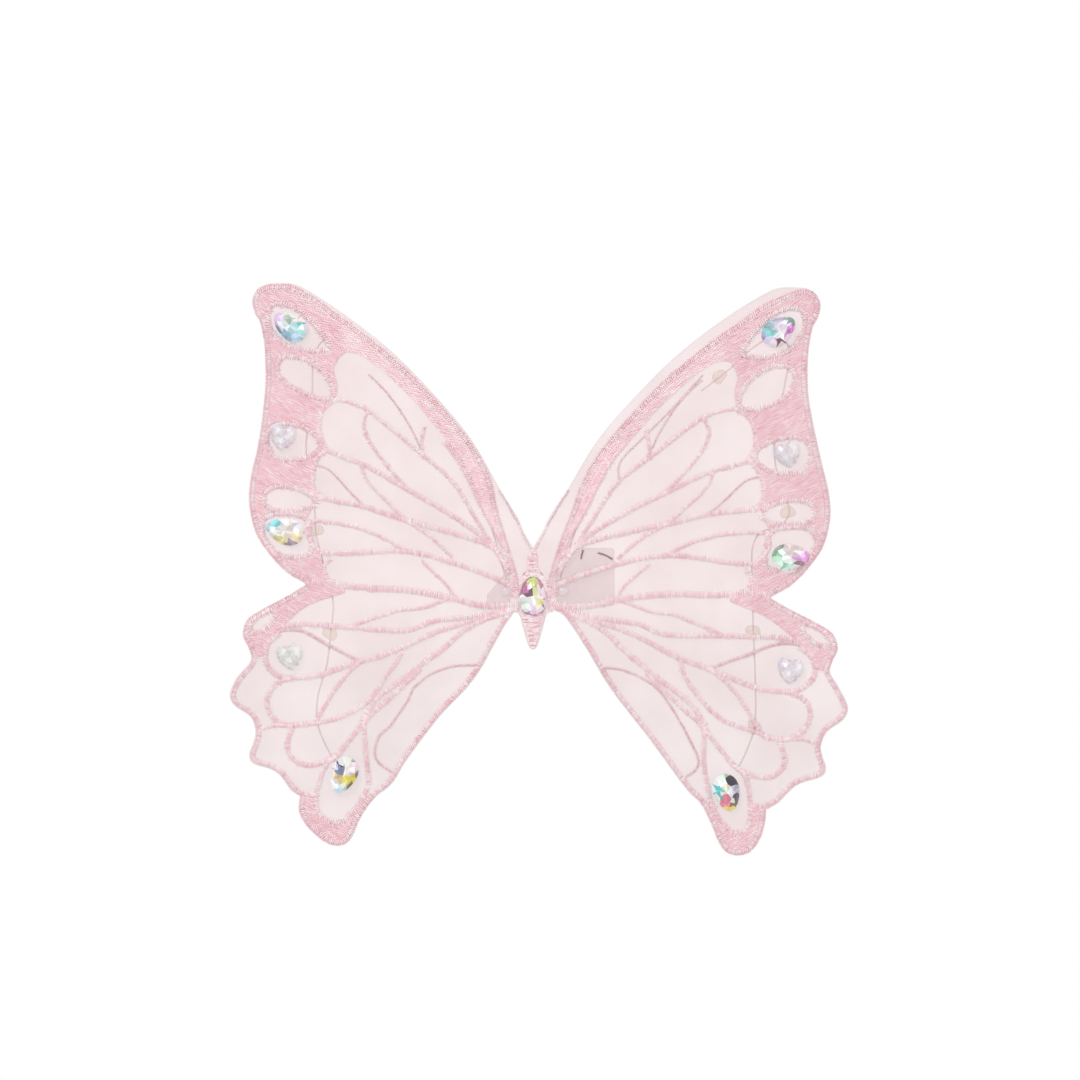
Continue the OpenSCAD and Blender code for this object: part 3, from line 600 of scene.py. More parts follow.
def addObject(name, points, loops, sizes, finish, uv=None, smooth=True):
    mesh = bpy.data.meshes.new(name)
    sizes = np.asarray(sizes, np.int32)
    mesh.vertices.add(len(points))
    mesh.vertices.foreach_set("co", np.asarray(points, np.float32).ravel())
    mesh.loops.add(len(loops))
    mesh.loops.foreach_set("vertex_index", np.asarray(loops, np.int32))
    mesh.polygons.add(len(sizes))
    mesh.polygons.foreach_set("loop_start", np.concatenate([[0], np.cumsum(sizes)[:-1]]).astype(np.int32))
    mesh.update(calc_edges=True)
    mesh.polygons.foreach_set("use_smooth", np.full(len(sizes), smooth))
    if uv is not None:
        layer = mesh.uv_layers.new(name=mapName)
        layer.uv.foreach_set("vector", np.asarray(uv, np.float32)[np.asarray(loops)].ravel())
    mesh.validate()
    mesh.materials.append(finish)
    made = bpy.data.objects.new(name, mesh)
    bpy.context.scene.collection.objects.link(made)
    return made


def settle(piece, nodes, side=None, bends=False):
    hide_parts(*nodes)
    if side is None:
        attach(piece, "centre")
        return piece
    wing = "right_wing" if side == right else "left_wing"
    if bends:
        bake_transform(piece)
    else:
        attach(piece, wing)
    return piece


def banded(bands, around):
    # the faces between rings of points that follow one another
    return [[k * around + i, k * around + (i + 1) % around, (k + 1) * around + (i + 1) % around,
             (k + 1) * around + i] for k in range(bands) for i in range(around)]


# thread work
# how much a stitch strays from its neighbours: places in mm, heights and widths as shares
uneven = {"shift": 0.09, "rise": 0.09, "thread": 0.06, "rowRise": 0.16, "rowCut": 0.1, "rowEnd": 0.06}


class Stitches:
    # many short lengths of thread, gathered here and made into one mesh
    def __init__(self, sections):
        self.along, self.arch = sections
        self.start, self.end, self.facts = [], [], []

    def add(self, start, end, rise, width, shade, base=0.05):
        count = len(start)
        if not count:
            return
        self.start.append(start)
        self.end.append(end)
        self.facts.append(np.stack([np.broadcast_to(v, count) for v in (rise, width, shade, base)], 1))

    def make(self, name, finish):
        start, end, facts = (np.concatenate(v) for v in (self.start, self.end, self.facts))
        rise, width, shade, base = facts.T
        run = end - start
        run /= np.maximum(np.linalg.norm(run, axis=1), 1e-9)[:, None]
        across = np.stack([-run[:, 1], run[:, 0]], 1)
        # a thread's cross-section, flat underneath, in shares of its width and thickness
        ring = np.array([[-0.5, -0.3], [-0.38, 0.28], [0.0, 0.5], [0.38, 0.28], [0.5, -0.3]])
        thick = 0.34
        count, around = len(start), len(ring)
        layers = []
        for t, lift in zip(self.along, self.arch):
            middle = start + (end - start) * t
            narrow = 0.55 + 0.45 * math.sqrt(lift)
            for u, v in ring:
                flat = middle + across * (u * width * narrow)[:, None]
                layers.append(solid(flat, base + rise * lift + v * thick * narrow))
        points = np.stack(layers, 1)  # stitch, ring point, xyz
        per = points.shape[1]
        quads = banded(len(self.along) - 1, around)
        caps = [list(range(around))[::-1], list(range(per - around, per))]
        offset = np.arange(count)[:, None] * per
        loops = np.concatenate([(np.array(quads).ravel()[None] + offset).ravel(),
                                (np.array(caps).ravel()[None] + offset).ravel()])
        sizes = [4] * (count * len(quads)) + [around] * (count * len(caps))
        uv = np.stack([np.tile(np.repeat(np.clip(self.along, 0.02, 0.98), around), count),
                       np.repeat(np.clip(shade, 0.02, 0.98), per)], 1)
        print(f"  {name}: {count} stitches")
        return addObject(name, points.reshape(-1, 3), loops, sizes, finish, uv)


satinShape = ((0.0, 0.14, 0.5, 0.86, 1.0), (0.0, 0.72, 1.0, 0.72, 0.0))
fillShape = ((0.0, 0.2, 0.8, 1.0), (0.0, 0.9, 0.9, 0.0))


def toneOf(points, spread=0.17):
    # every thread catches the light a little differently, in soft drifts
    drift = (np.sin(points[:, 0] / 5.1 + np.sin(points[:, 1] / 7.3)) * np.sin(points[:, 1] / 4.7)) * 0.1
    # a few threads painted much lighter: painted glints
    flecks = (chance.random(len(points)) < 0.12) * 2.6 * spread
    return 0.46 + drift + flecks + chance.normal(0, spread, len(points))


underlay = {"length": 2.4, "longest": 3.2, "apart": 0.22, "wide": 0.27, "rise": 0.16, "spread": 0.06,
            "paler": 0.08}


def satinAlong(work, line, width, look, closed=False, keep=None):
    points, run = evenly(line, look["pitch"], closed)
    if keep:
        kept = passing(points, keep)
        points, run = points[kept], run[kept]
    if not len(points):
        return
    across = np.stack([-run[:, 1], run[:, 0]], 1)
    count = len(points)
    zig = look["slant"] * np.where(np.arange(count) % 2, 1, -1)
    shift = (zig + chance.normal(0, uneven["shift"], count))[:, None]
    ends = width / 2 - 0.06 + chance.normal(0, look["ragged"], (2, count))
    start = points + across * ends[0][:, None] + run * shift
    end = points - across * ends[1][:, None] - run * shift
    rise = look["rise"] * (1 + chance.normal(0, uneven["rise"], count))
    thread = look["thread"] * (1 + chance.normal(0, uneven["thread"], count))
    # one leg of each zigzag painted lighter and the next darker: painted light and shade on the legs
    legs = np.where(np.arange(count) % 2, look["legs"], -look["legs"])
    work.add(start, end, rise, thread, toneOf(points, look["spread"]) + legs)
    # long stitches laid under the zigzag, so that no cloth shows between its legs
    hops = max(1, round(underlay["length"] / look["pitch"]))
    a, b = points[:-hops:hops], points[hops::hops]
    whole = np.linalg.norm(b - a, axis=1) < underlay["longest"]
    for share in (-underlay["apart"], 0, underlay["apart"]):
        lift = (across[:-hops:hops] * share * width)[whole]
        shade = toneOf(a[whole], underlay["spread"]) + underlay["paler"]
        work.add(a[whole] + lift, b[whole] + lift, underlay["rise"], width * underlay["wide"], shade,
                 base=0.0)


def rowsOver(area, tests, look):
    # rows of end-to-end stitches over an area, in brick order
    angle = math.radians(look["angle"])
    run = np.array([math.cos(angle), math.sin(angle)])
    across = np.array([-run[1], run[0]])
    u, v = area @ run, area @ across
    fine, shortest = 0.3, 0.5
    us = np.arange(u.min(), u.max(), fine)
    vs = np.arange(v.min(), v.max(), look["pitch"])
    grid = us[None, :, None] * run + vs[:, None, None] * across
    held = passing(grid.reshape(-1, 2), tests).reshape(len(vs), len(us))
    starts, ends = [], []
    for row, mask in enumerate(held):
        edges = np.flatnonzero(np.diff(np.concatenate([[0], mask.view(np.int8), [0]])))
        for a, b in zip(edges[::2], edges[1::2]):
            low, high = us[a], us[b - 1]
            if high - low < shortest:
                continue
            phase = (row * look["brick"]) % 1 * look["length"]
            cuts = np.arange(math.floor(low / look["length"]) * look["length"] + phase, high, look["length"])
            cuts = cuts[(cuts > low + shortest) & (cuts < high - shortest)]
            cuts = cuts + chance.normal(0, uneven["rowCut"], 1)
            marks = np.concatenate([[low], cuts, [high]])
            level = across * vs[row]
            starts.append(marks[:-1, None] * run + level)
            ends.append(marks[1:, None] * run + level)
    start, end = np.concatenate(starts), np.concatenate(ends)
    wobble = chance.normal(0, uneven["rowEnd"], start.shape)
    return start + wobble, end + wobble


def addRows(work, rows, look, chosen=None):
    start, end = rows if chosen is None else (rows[0][chosen], rows[1][chosen])
    rise = look["rise"] * (1 + chance.normal(0, uneven["rowRise"], len(start)))
    work.add(start, end, rise, look["thread"], toneOf((start + end) / 2, look["spread"]), base=0.2)


# Satin looks in mm: spacing, thread width, height, and how far a stitch slants; then how ragged its
# ends are, how much the tones differ, and how much darker one leg of the zigzag is painted than the
# other, a painted shade that makes one leg read as lit and the next as shaded.
veinLook = {"pitch": 0.56, "thread": 0.52, "rise": 0.5, "slant": 0.4, "ragged": 0.28, "spread": 0.13,
            "legs": 0.16}
ringLook = {"pitch": 0.58, "thread": 0.52, "rise": 0.6, "slant": 0.42, "ragged": 0.36, "spread": 0.15,
            "legs": 0.2}
edgeLook = {"pitch": 0.54, "thread": 0.5, "rise": 0.52, "slant": 0.34, "ragged": 0.14, "spread": 0.15,
            "legs": 0.15}
fineLook = {"pitch": 0.48, "thread": 0.44, "rise": 0.4, "slant": 0.22, "ragged": 0.14, "spread": 0.13,
            "legs": 0.1}
bandLook = dict(ringLook, spread=0.1, legs=0.12, rise=0.5)
# filling rows: a stitch's length, its shift from row to row as a share of that, and the rows' angle
rowLook = {"pitch": 0.42, "thread": 0.52, "rise": 0.2, "length": 3.4, "brick": 0.37, "angle": 28,
           "spread": 0.17}

threads = {  # tones from shaded to lit
    "fill": [(0.0, "#ecb4c0"), (0.35, "#f6cad2"), (0.65, "#fad6dc"), (1.0, "#fde8eb")],
    "band": [(0.0, "#f0bcc7"), (0.35, "#f9d3da"), (0.65, "#fddfe4"), (1.0, "#ffeff1")],
    "satin": [(0.0, "#e8a7b6"), (0.3, "#f8ced6"), (0.6, "#fee7ea"), (1.0, "#fffafa")],
    "pale": [(0.0, "#ecb2be"), (0.3, "#f9d0d8"), (0.6, "#ffe8eb"), (1.0, "#fffcfc")],
    "fine": [(0.0, "#d6a5af"), (0.4, "#efccd2"), (1.0, "#fdeaec")],
}
threadFill, threadBand, threadSatin, threadPale, threadFine = (
    threadFinish(kind + "Thread", tones) for kind, tones in threads.items())
organza = organzaFinish("organzaCloth", {
    "mapSide": fabric["mapSide"], "pitch": 0.5,  # mm from strand to strand
    "deep": "#deb0b2", "pale": "#ecc6c8", "lower": "#f5faf9",
    "gap": 0.14, "strand": 0.33,  # how much of the light each one stops
})


def wingDrawing(side):
    lead, fore, hind, lobe = (placed(curve(e), side) for e in (leadEdge, foreEdge, hindEdge, lobeEdge))
    lobe = lobe[np.abs(lobe[:, 0]) > 9.4]
    tail = curve(tailEdge) * (side, 1)
    outline = np.concatenate([lead, fore, hind, lobe, tail])
    outer = placed(curve(pushed(bandOuter, side, fabric["leftStrip"])), side)
    stitched = np.concatenate([outer, fore, hind, lobe])
    inner = placed(curve(pushed(bandInner, side, fabric["leftStrip"] * 0.7))[::-1], side)
    margin = placed(curve(marginInner)[::-1], side)
    fill = np.concatenate([outer, fore, margin, inner])
    shoulder = np.concatenate([placed(curve(shoulderInner), side),
                               placed([[146, -34], [150, -20], [125, 0], [114, 1], [94, 1]], side)])
    lobeFill = placed([[80, -97], [113, -100], [114, -130], [80, -130]], side)
    openings = [shifted(placed(curve(w, True), side), fabric["windowGrow"]) for w in windows]
    openings.append(shifted(placed(curve(shoulderWindow, True), side), fabric["windowGrow"]))
    return {"outline": outline, "stitched": stitched, "fill": fill, "shoulder": shoulder,
            "lobeFill": lobeFill, "openings": openings,
            "lobeWindow": placed(curve(lobeWindow, True), side),
            "leadPart": placed([[0, -10], [60, 60], [92, 100], [92, 160], [0, 160]], side),
            "lobeVein": placed(curve(lobeVein), side), "seam": placed(curve(seamVein), side),
            "stones": stoneSpots(side)}


# stones
pearSize = (13.0, 18.0, 5.0)
heartSize = (12.8, 12.8, 4.4)
# heights and reaches of the facet rings, as shares of the stone, and the upright wall of its edge in mm
cut = {"girdle": 0.9, "starsOut": 0.8, "starsHigh": 0.62, "tableOut": 0.5, "tableHigh": 0.985, "mapSide": 20}
# place, turn, and the colours seen in each cut, the stone's own tints with painted reflections and
# highlights among them: (x, height, colour) from the stone's middle, narrow end up
stones = {
    "centre_stone": {"at": (0, 0.5), "turn": 0, "tintsAndGlints": [
        (-4, -1.5, "#f4f8f4"), (-3.2, -4.6, "#e6f5ea"), (-3.6, 3.8, "#d07cae"), (-1.9, 1.8, "#8a6474"),
        (0, 7, "#c3cd86"), (0.6, 3.6, "#ecebb0"), (3.6, 2.8, "#fbeff6"), (4.6, 0, "#efbee6"),
        (2.8, -3.6, "#f3f09a"), (0.8, -0.6, "#f3f3c8"), (-0.4, -6.8, "#e9b2ec"), (2.6, -7, "#e4a0d2"),
        (5.2, -4, "#8a5c70"), (4.4, 5, "#cf86a4"), (-5.6, 1.4, "#b98098"), (-1, -2.6, "#ffffff")]},
    "right_tip_stone": {"at": (117.5, 127), "turn": -52, "tintsAndGlints": [
        (-0.4, 7, "#7fa69c"), (-2.5, -4, "#8fd0cf"), (-2.6, 0, "#efe3f3"), (2.3, -0.5, "#ffffff"),
        (2.9, 4.5, "#dc80d2"), (2.5, -5.2, "#d398d3"), (5.4, -3, "#7c5068"), (-4.3, 4.7, "#dcd3ec"),
        (0, 3.2, "#f8eef8"), (-5, -1, "#a9c9d6"), (0, -7.4, "#b9a3d8"), (4.8, 1.4, "#e3a3dc")]},
    "right_fore_stone": {"at": (123, 19), "turn": -84, "tintsAndGlints": [
        (-0.7, -6.9, "#8fd8a8"), (-4.4, -5.8, "#8fa09c"), (3.4, -4.2, "#9fe8cc"), (4.9, -1.3, "#b8efd8"),
        (0.7, -0.9, "#ffffff"), (0.9, 4.9, "#f0b4ec"), (4.2, 3.4, "#a98594"), (-3.8, 0.4, "#f3e0e0"),
        (-2.6, 4.1, "#f6e4ea"), (-2.7, -3.5, "#e8efe6"), (-0.4, 7.6, "#e9a6e0")]},
    "right_hind_stone": {"at": (92.5, -93.5), "turn": -165, "tintsAndGlints": [
        (-4.6, -5.1, "#33333f"), (3.4, -2.7, "#66d2dc"), (5.1, 0.7, "#7ab8b4"), (0.7, -7.2, "#bfe0c8"),
        (-0.4, -1.7, "#f6f2dc"), (-4.7, -0.6, "#b9b4cc"), (-4.9, 3.4, "#565664"), (0.2, 3.3, "#f08aa4"),
        (-1, 8.1, "#f2dc6a"), (-2.3, 5.9, "#7c6c58"), (0.7, -4.6, "#ffffff"), (-2.5, 0.2, "#f4f0f4")]},
    "left_tip_stone": {"at": (-116, 129.5), "turn": 55, "tintsAndGlints": [
        (-0.8, 6.7, "#e6cdf0"), (-2.4, 2.5, "#f2f8fc"), (-4.9, 4.2, "#7c9ab4"), (-4.7, -0.5, "#a0cce6"),
        (-3.7, -4.9, "#b4dcee"), (2.5, -4.4, "#5fe0dc"), (4.4, -6.3, "#7cc2da"), (3.5, 1.5, "#b9cfbd"),
        (4, 4.4, "#d9e6dc"), (0, -0.9, "#c3e4ea"), (4.1, -1.4, "#ecd9cc")]},
    "left_fore_stone": {"at": (-118.5, 31.5), "turn": 76, "tintsAndGlints": [
        (1.8, 5, "#8fe4ee"), (-1, 5.4, "#f4f8f2"), (-4.1, 0.7, "#f5f0a4"), (-4.9, -4.2, "#b09aac"),
        (-1.3, -7.3, "#e6d8a8"), (3.9, -6, "#d8ddf6"), (1.3, -1.9, "#f0e2dc"), (-0.2, 0.9, "#fdfbf6"),
        (5, 0.6, "#eef0f4"), (-2.6, -2.1, "#f2e4cc"), (0.6, 8, "#a8d8e4")]},
    "left_hind_stone": {"at": (-90.5, -85), "turn": 160, "tintsAndGlints": [
        (3.2, -5, "#2c2a2c"), (2.1, -2.1, "#7f8ea8"), (0.4, -7.6, "#c8d8c0"), (6.2, -1.8, "#d9cdea"),
        (-3.5, -4.5, "#f1dce8"), (-0.3, -1, "#f8f0e6"), (1.9, 2, "#edc894"), (-3.8, 0.7, "#f2e24a"),
        (-6.3, -3.1, "#8a7a78"), (-4.8, 3.6, "#6c6240"), (2.7, 5.5, "#ffffff"), (-0.8, 7, "#bfe2f4"),
        (-2, 3.7, "#f6ee8c")]},
}
# heart facet colours: the glass's pale tint with painted highlights and painted shade
lilacTintsAndGlints = [(0, 0, "#ffffff"), (-2.8, 2.6, "#f6ebf8"), (2.8, 2.6, "#fbf6fa"), (-3.6, 0, "#efe6ee"),
              (3.8, 0.6, "#e9dfe8"), (0, -3.4, "#fbf4fb"), (1.6, -1.4, "#f3e8f6"), (-1.6, -1.2, "#ffffff"),
              (0, 3.4, "#eee4ec"), (0.4, -5.6, "#e2d8e0"), (-4.6, 3.6, "#f3e6f8"), (4.4, 3.8, "#f6ecf8")]
whiteTintsAndGlints = [(0, 0, "#ffffff"), (-2.8, 2.6, "#f8fbf6"), (2.8, 2.6, "#ffffff"), (-3.6, 0, "#eceeea"),
              (3.8, 0.6, "#e2e4e0"), (0, -3.4, "#fbfcfa"), (1.6, -1.4, "#f2f4ee"), (-1.6, -1.2, "#ffffff"),
              (0, 3.4, "#e8eae6"), (0.4, -5.6, "#dcddd8")]
hearts = {
    "right_fore_heart": {"at": (121.5, 68), "turn": 12, "tintsAndGlints": lilacTintsAndGlints},
    "right_hind_heart": {"at": (123, -35.2), "turn": -8, "tintsAndGlints": lilacTintsAndGlints},
    "left_fore_heart": {"at": (-119.5, 76.2), "turn": -10, "tintsAndGlints": lilacTintsAndGlints},
    "left_hind_heart": {"at": (-116, -28.5), "turn": 10, "tintsAndGlints": whiteTintsAndGlints},
}


def pearOutline(count=24):
    a = np.arange(count) / count * 2 * math.pi
    w, l, _ = pearSize
    return np.stack([w / 2 * np.sin(a) * (1 - 0.25 * np.cos(a)) / 1.03, l / 2 * np.cos(a)], 1)


def heartOutline():
    half = [[0, -6.4], [3.2, -4], [5.4, -0.8], [6, 2.2], [5, 4.8], [2.6, 5.6], [0, 4.4]]
    line = curve(half, step=1.5) * heartSize[0] / 12
    return np.concatenate([line, (line[1:-1] * (-1, 1))[::-1]])


def turned(p, degrees):
    a = math.radians(degrees)
    return np.stack([p[..., 0] * math.cos(a) - p[..., 1] * math.sin(a),
                     p[..., 0] * math.sin(a) + p[..., 1] * math.cos(a)], -1)


def stoneSpots(side):
    found = []
    for table, line in ((stones, pearOutline()), (hearts, heartOutline())):
        for s in table.values():
            if s["at"][0] * side > 20:
                found.append(shifted(turned(line, s["turn"])[::-1] + s["at"], 0.2))
    spot = np.arange(16) / 16 * 2 * math.pi
    found.append(np.stack([np.cos(spot), np.sin(spot)], 1) * (drop["radius"] + drop["clear"]) + dropAt[side])
    return found


def cutStone(name, line, high, spec, finish):
    # girdle wall, a ring of kites, a ring of stars and a table broken into a fan
    n, m = len(line), len(line) // 2
    girdle = cut["girdle"]
    mid = ((line + np.roll(line, -1, 0)) / 2)[::2] * cut["starsOut"]
    table = (mid + np.roll(mid, -1, 0)) / 2 / cut["starsOut"] * cut["tableOut"]
    flat = np.concatenate([line, line, mid, table, [[0, 0]]])
    tall = np.concatenate([np.zeros(n), np.full(n, girdle),
                           np.full(m, girdle + (high - girdle) * cut["starsHigh"]),
                           np.full(m, high * cut["tableHigh"]), [high]])
    faces = [[i, (i + 1) % n, n + (i + 1) % n, n + i] for i in range(n)]
    g, k, t, c = n, 2 * n, 2 * n + m, 2 * n + 2 * m
    for i in range(m):
        a, b, b2 = 2 * i, 2 * i + 1, (2 * i + 2) % n
        faces += [[g + a, g + b, k + i], [g + b, g + b2, k + i]]
        faces += [[g + b2, k + (i + 1) % m, k + i]]
        faces += [[k + i, k + (i + 1) % m, t + i], [k + (i + 1) % m, t + (i + 1) % m, t + i]]
        faces += [[t + i, t + (i + 1) % m, c]]
    faces.append(list(range(n))[::-1])
    rest = float(lie(np.array([spec["at"]], float))[0])
    points = solid(turned(flat, spec["turn"]) + spec["at"], tall, rest)
    sizes = [len(f) for f in faces]
    loops = [i for f in faces for i in f]
    made = addObject(name, points, loops, sizes, finish, flat / cut["mapSide"] + 0.5, smooth=False)
    middles = np.array([flat[f].mean(0) for f in faces])
    level = np.array([tall[f].mean() for f in faces])
    # each facet takes the nearest listed colour, which holds the stone's tints and its painted reflections
    # and highlights
    places = np.array([(x, z) for x, z, _ in spec["tintsAndGlints"]])
    tones = np.array([colourOf(tone) for _, _, tone in spec["tintsAndGlints"]])
    nearest = ((middles[:, None] - places[None]) ** 2).sum(2).argmin(1)
    colours = tones[nearest] * (0.86 + 0.28 * chance.random(len(faces)))[:, None]
    # the upright wall and the underside painted half as dark: painted shade on the stone's sides
    colours[level < girdle * 0.8] *= 0.5
    layer = made.data.attributes.new("glint", "FLOAT_COLOR", "FACE")
    layer.data.foreach_set("color", np.concatenate([colours[:, :3], np.ones((len(faces), 1))], 1)
                           .astype(np.float32).ravel())
    return made


pearFinish = stoneFinish("iridescentStone", {"cells": 5.5, "dark": 0.75, "bright": 1.1, "flash": 0.75,
                                             "metal": 0.1, "alpha": 1.0})
heartFinish = stoneFinish("clearStone", {"cells": 6.0, "dark": 0.95, "bright": 1.03, "flash": 0.8,
                                         "metal": 0.0, "alpha": 0.62})
pear, heart = clockwise(pearOutline()), clockwise(heartOutline())


def makeStones():
    for kinds, line, high, slotName, finish in (
            (stones, pear, pearSize[2], "iridescent_stone", pearFinish),
            (hearts, heart, heartSize[2], "clear_stone", heartFinish)):
        for node, spec in kinds.items():
            settle(cutStone(node + "_cut", line, high, spec, finish), [node],
                   sides.get(node.split("_")[0]))


# cloth
foldMesh = {"across": (6.2, 10.2, 0.5), "up": (-9, 40, 1.8), "middle": 8.2, "rim": 0.9}


def makeCloth(word, side, drawing):
    name = f"{word}_cloth"
    outline = drawing["outline"]
    low, high = outline.min(0), outline.max(0)
    pitch = fabric["mesh"]
    xs = np.arange(low[0] + 1, high[0], pitch)
    zs = np.arange(low[1] + 1, high[1], pitch)
    grid = np.array([[x + (j % 2) * pitch / 2, z] for j, z in enumerate(zs) for x in xs])
    # closer points round the fold, where the cloth bends
    fold = np.array([[side * x, z] for x in np.arange(*foldMesh["across"])
                     for z in np.arange(*foldMesh["up"])])
    grid = np.concatenate([grid[np.abs(np.abs(grid[:, 0]) - foldMesh["middle"]) > pitch], fold])
    grid = grid[inside(grid, outline)]
    grid = grid[gapTo(grid, outline) > foldMesh["rim"]]
    verts = [Vector(p) for p in np.concatenate([outline, grid])]
    ring = list(range(len(outline)))
    flat, _, faces, *_ = geometry.delaunay_2d_cdt(verts, [], [ring], 1, 1e-6)
    flat = np.array([v[:] for v in flat])
    faces = np.array(faces)
    one, two = flat[faces[:, 1]] - flat[faces[:, 0]], flat[faces[:, 2]] - flat[faces[:, 0]]
    area = 0.5 * (one[:, [0]] * two[:, [1]] - one[:, [1]] * two[:, [0]])
    faces = np.where(area > 0, faces, faces[:, ::-1])
    count = len(flat)
    front = solid(flat, 0)
    back = solid(flat, -fabric["thick"])
    edges = {}
    for f in faces:
        for a, b in ((f[0], f[1]), (f[1], f[2]), (f[2], f[0])):
            edges[(a, b)] = (b, a) not in edges and (a, b) not in edges
            if (b, a) in edges:
                edges[(b, a)] = edges[(a, b)] = False
    walls = [[b, a, a + count, b + count] for (a, b), alone in edges.items() if alone]
    loops = np.concatenate([faces.ravel(), (faces[:, ::-1] + count).ravel(), np.array(walls).ravel()])
    sizes = [3] * (2 * len(faces)) + [4] * len(walls)
    spread = flat / fabric["mapSide"] + 0.5
    made = addObject(name, np.concatenate([front, back]), loops, sizes, organza,
                     np.concatenate([spread, spread]))
    settle(made, [f"{word}_panel", "centre_panel"], side, bends=True)


# embroidery of one wing
edging = {"middle": (80.0, 20.0), "root": 14, "passes": 3, "furthest": 2.0, "share": 0.5, "calmed": 0.4,
          "smoothing": 8}


def edgeRoute(side, stitched, outline):
    # inside the stitched outline, and inside the cloth's own edge where the band runs past that
    pinch = fabric["edgeWidth"] / 2 + fabric["hem"]
    line = shifted(stitched, -pinch)
    moved = np.zeros(len(line))
    for _ in range(edging["passes"]):
        gap = gapTo(line, outline)
        short = np.where(~inside(line, outline), pinch + gap, np.maximum(pinch - gap, 0))
        short[np.abs(line[:, 0]) < edging["root"]] = 0
        step = line - edging["middle"] * np.array([side, 1])
        step /= np.linalg.norm(step, axis=1)[:, None]
        hop = np.minimum(short, edging["furthest"]) * edging["share"]
        moved += hop
        line = line - step * hop[:, None]
    soft = np.minimum(moved / edging["calmed"], 1)[1:-1, None]
    for _ in range(edging["smoothing"]):
        line[1:-1] += soft * ((line[:-2] + line[2:]) / 2 - line[1:-1]) / 2
    return line


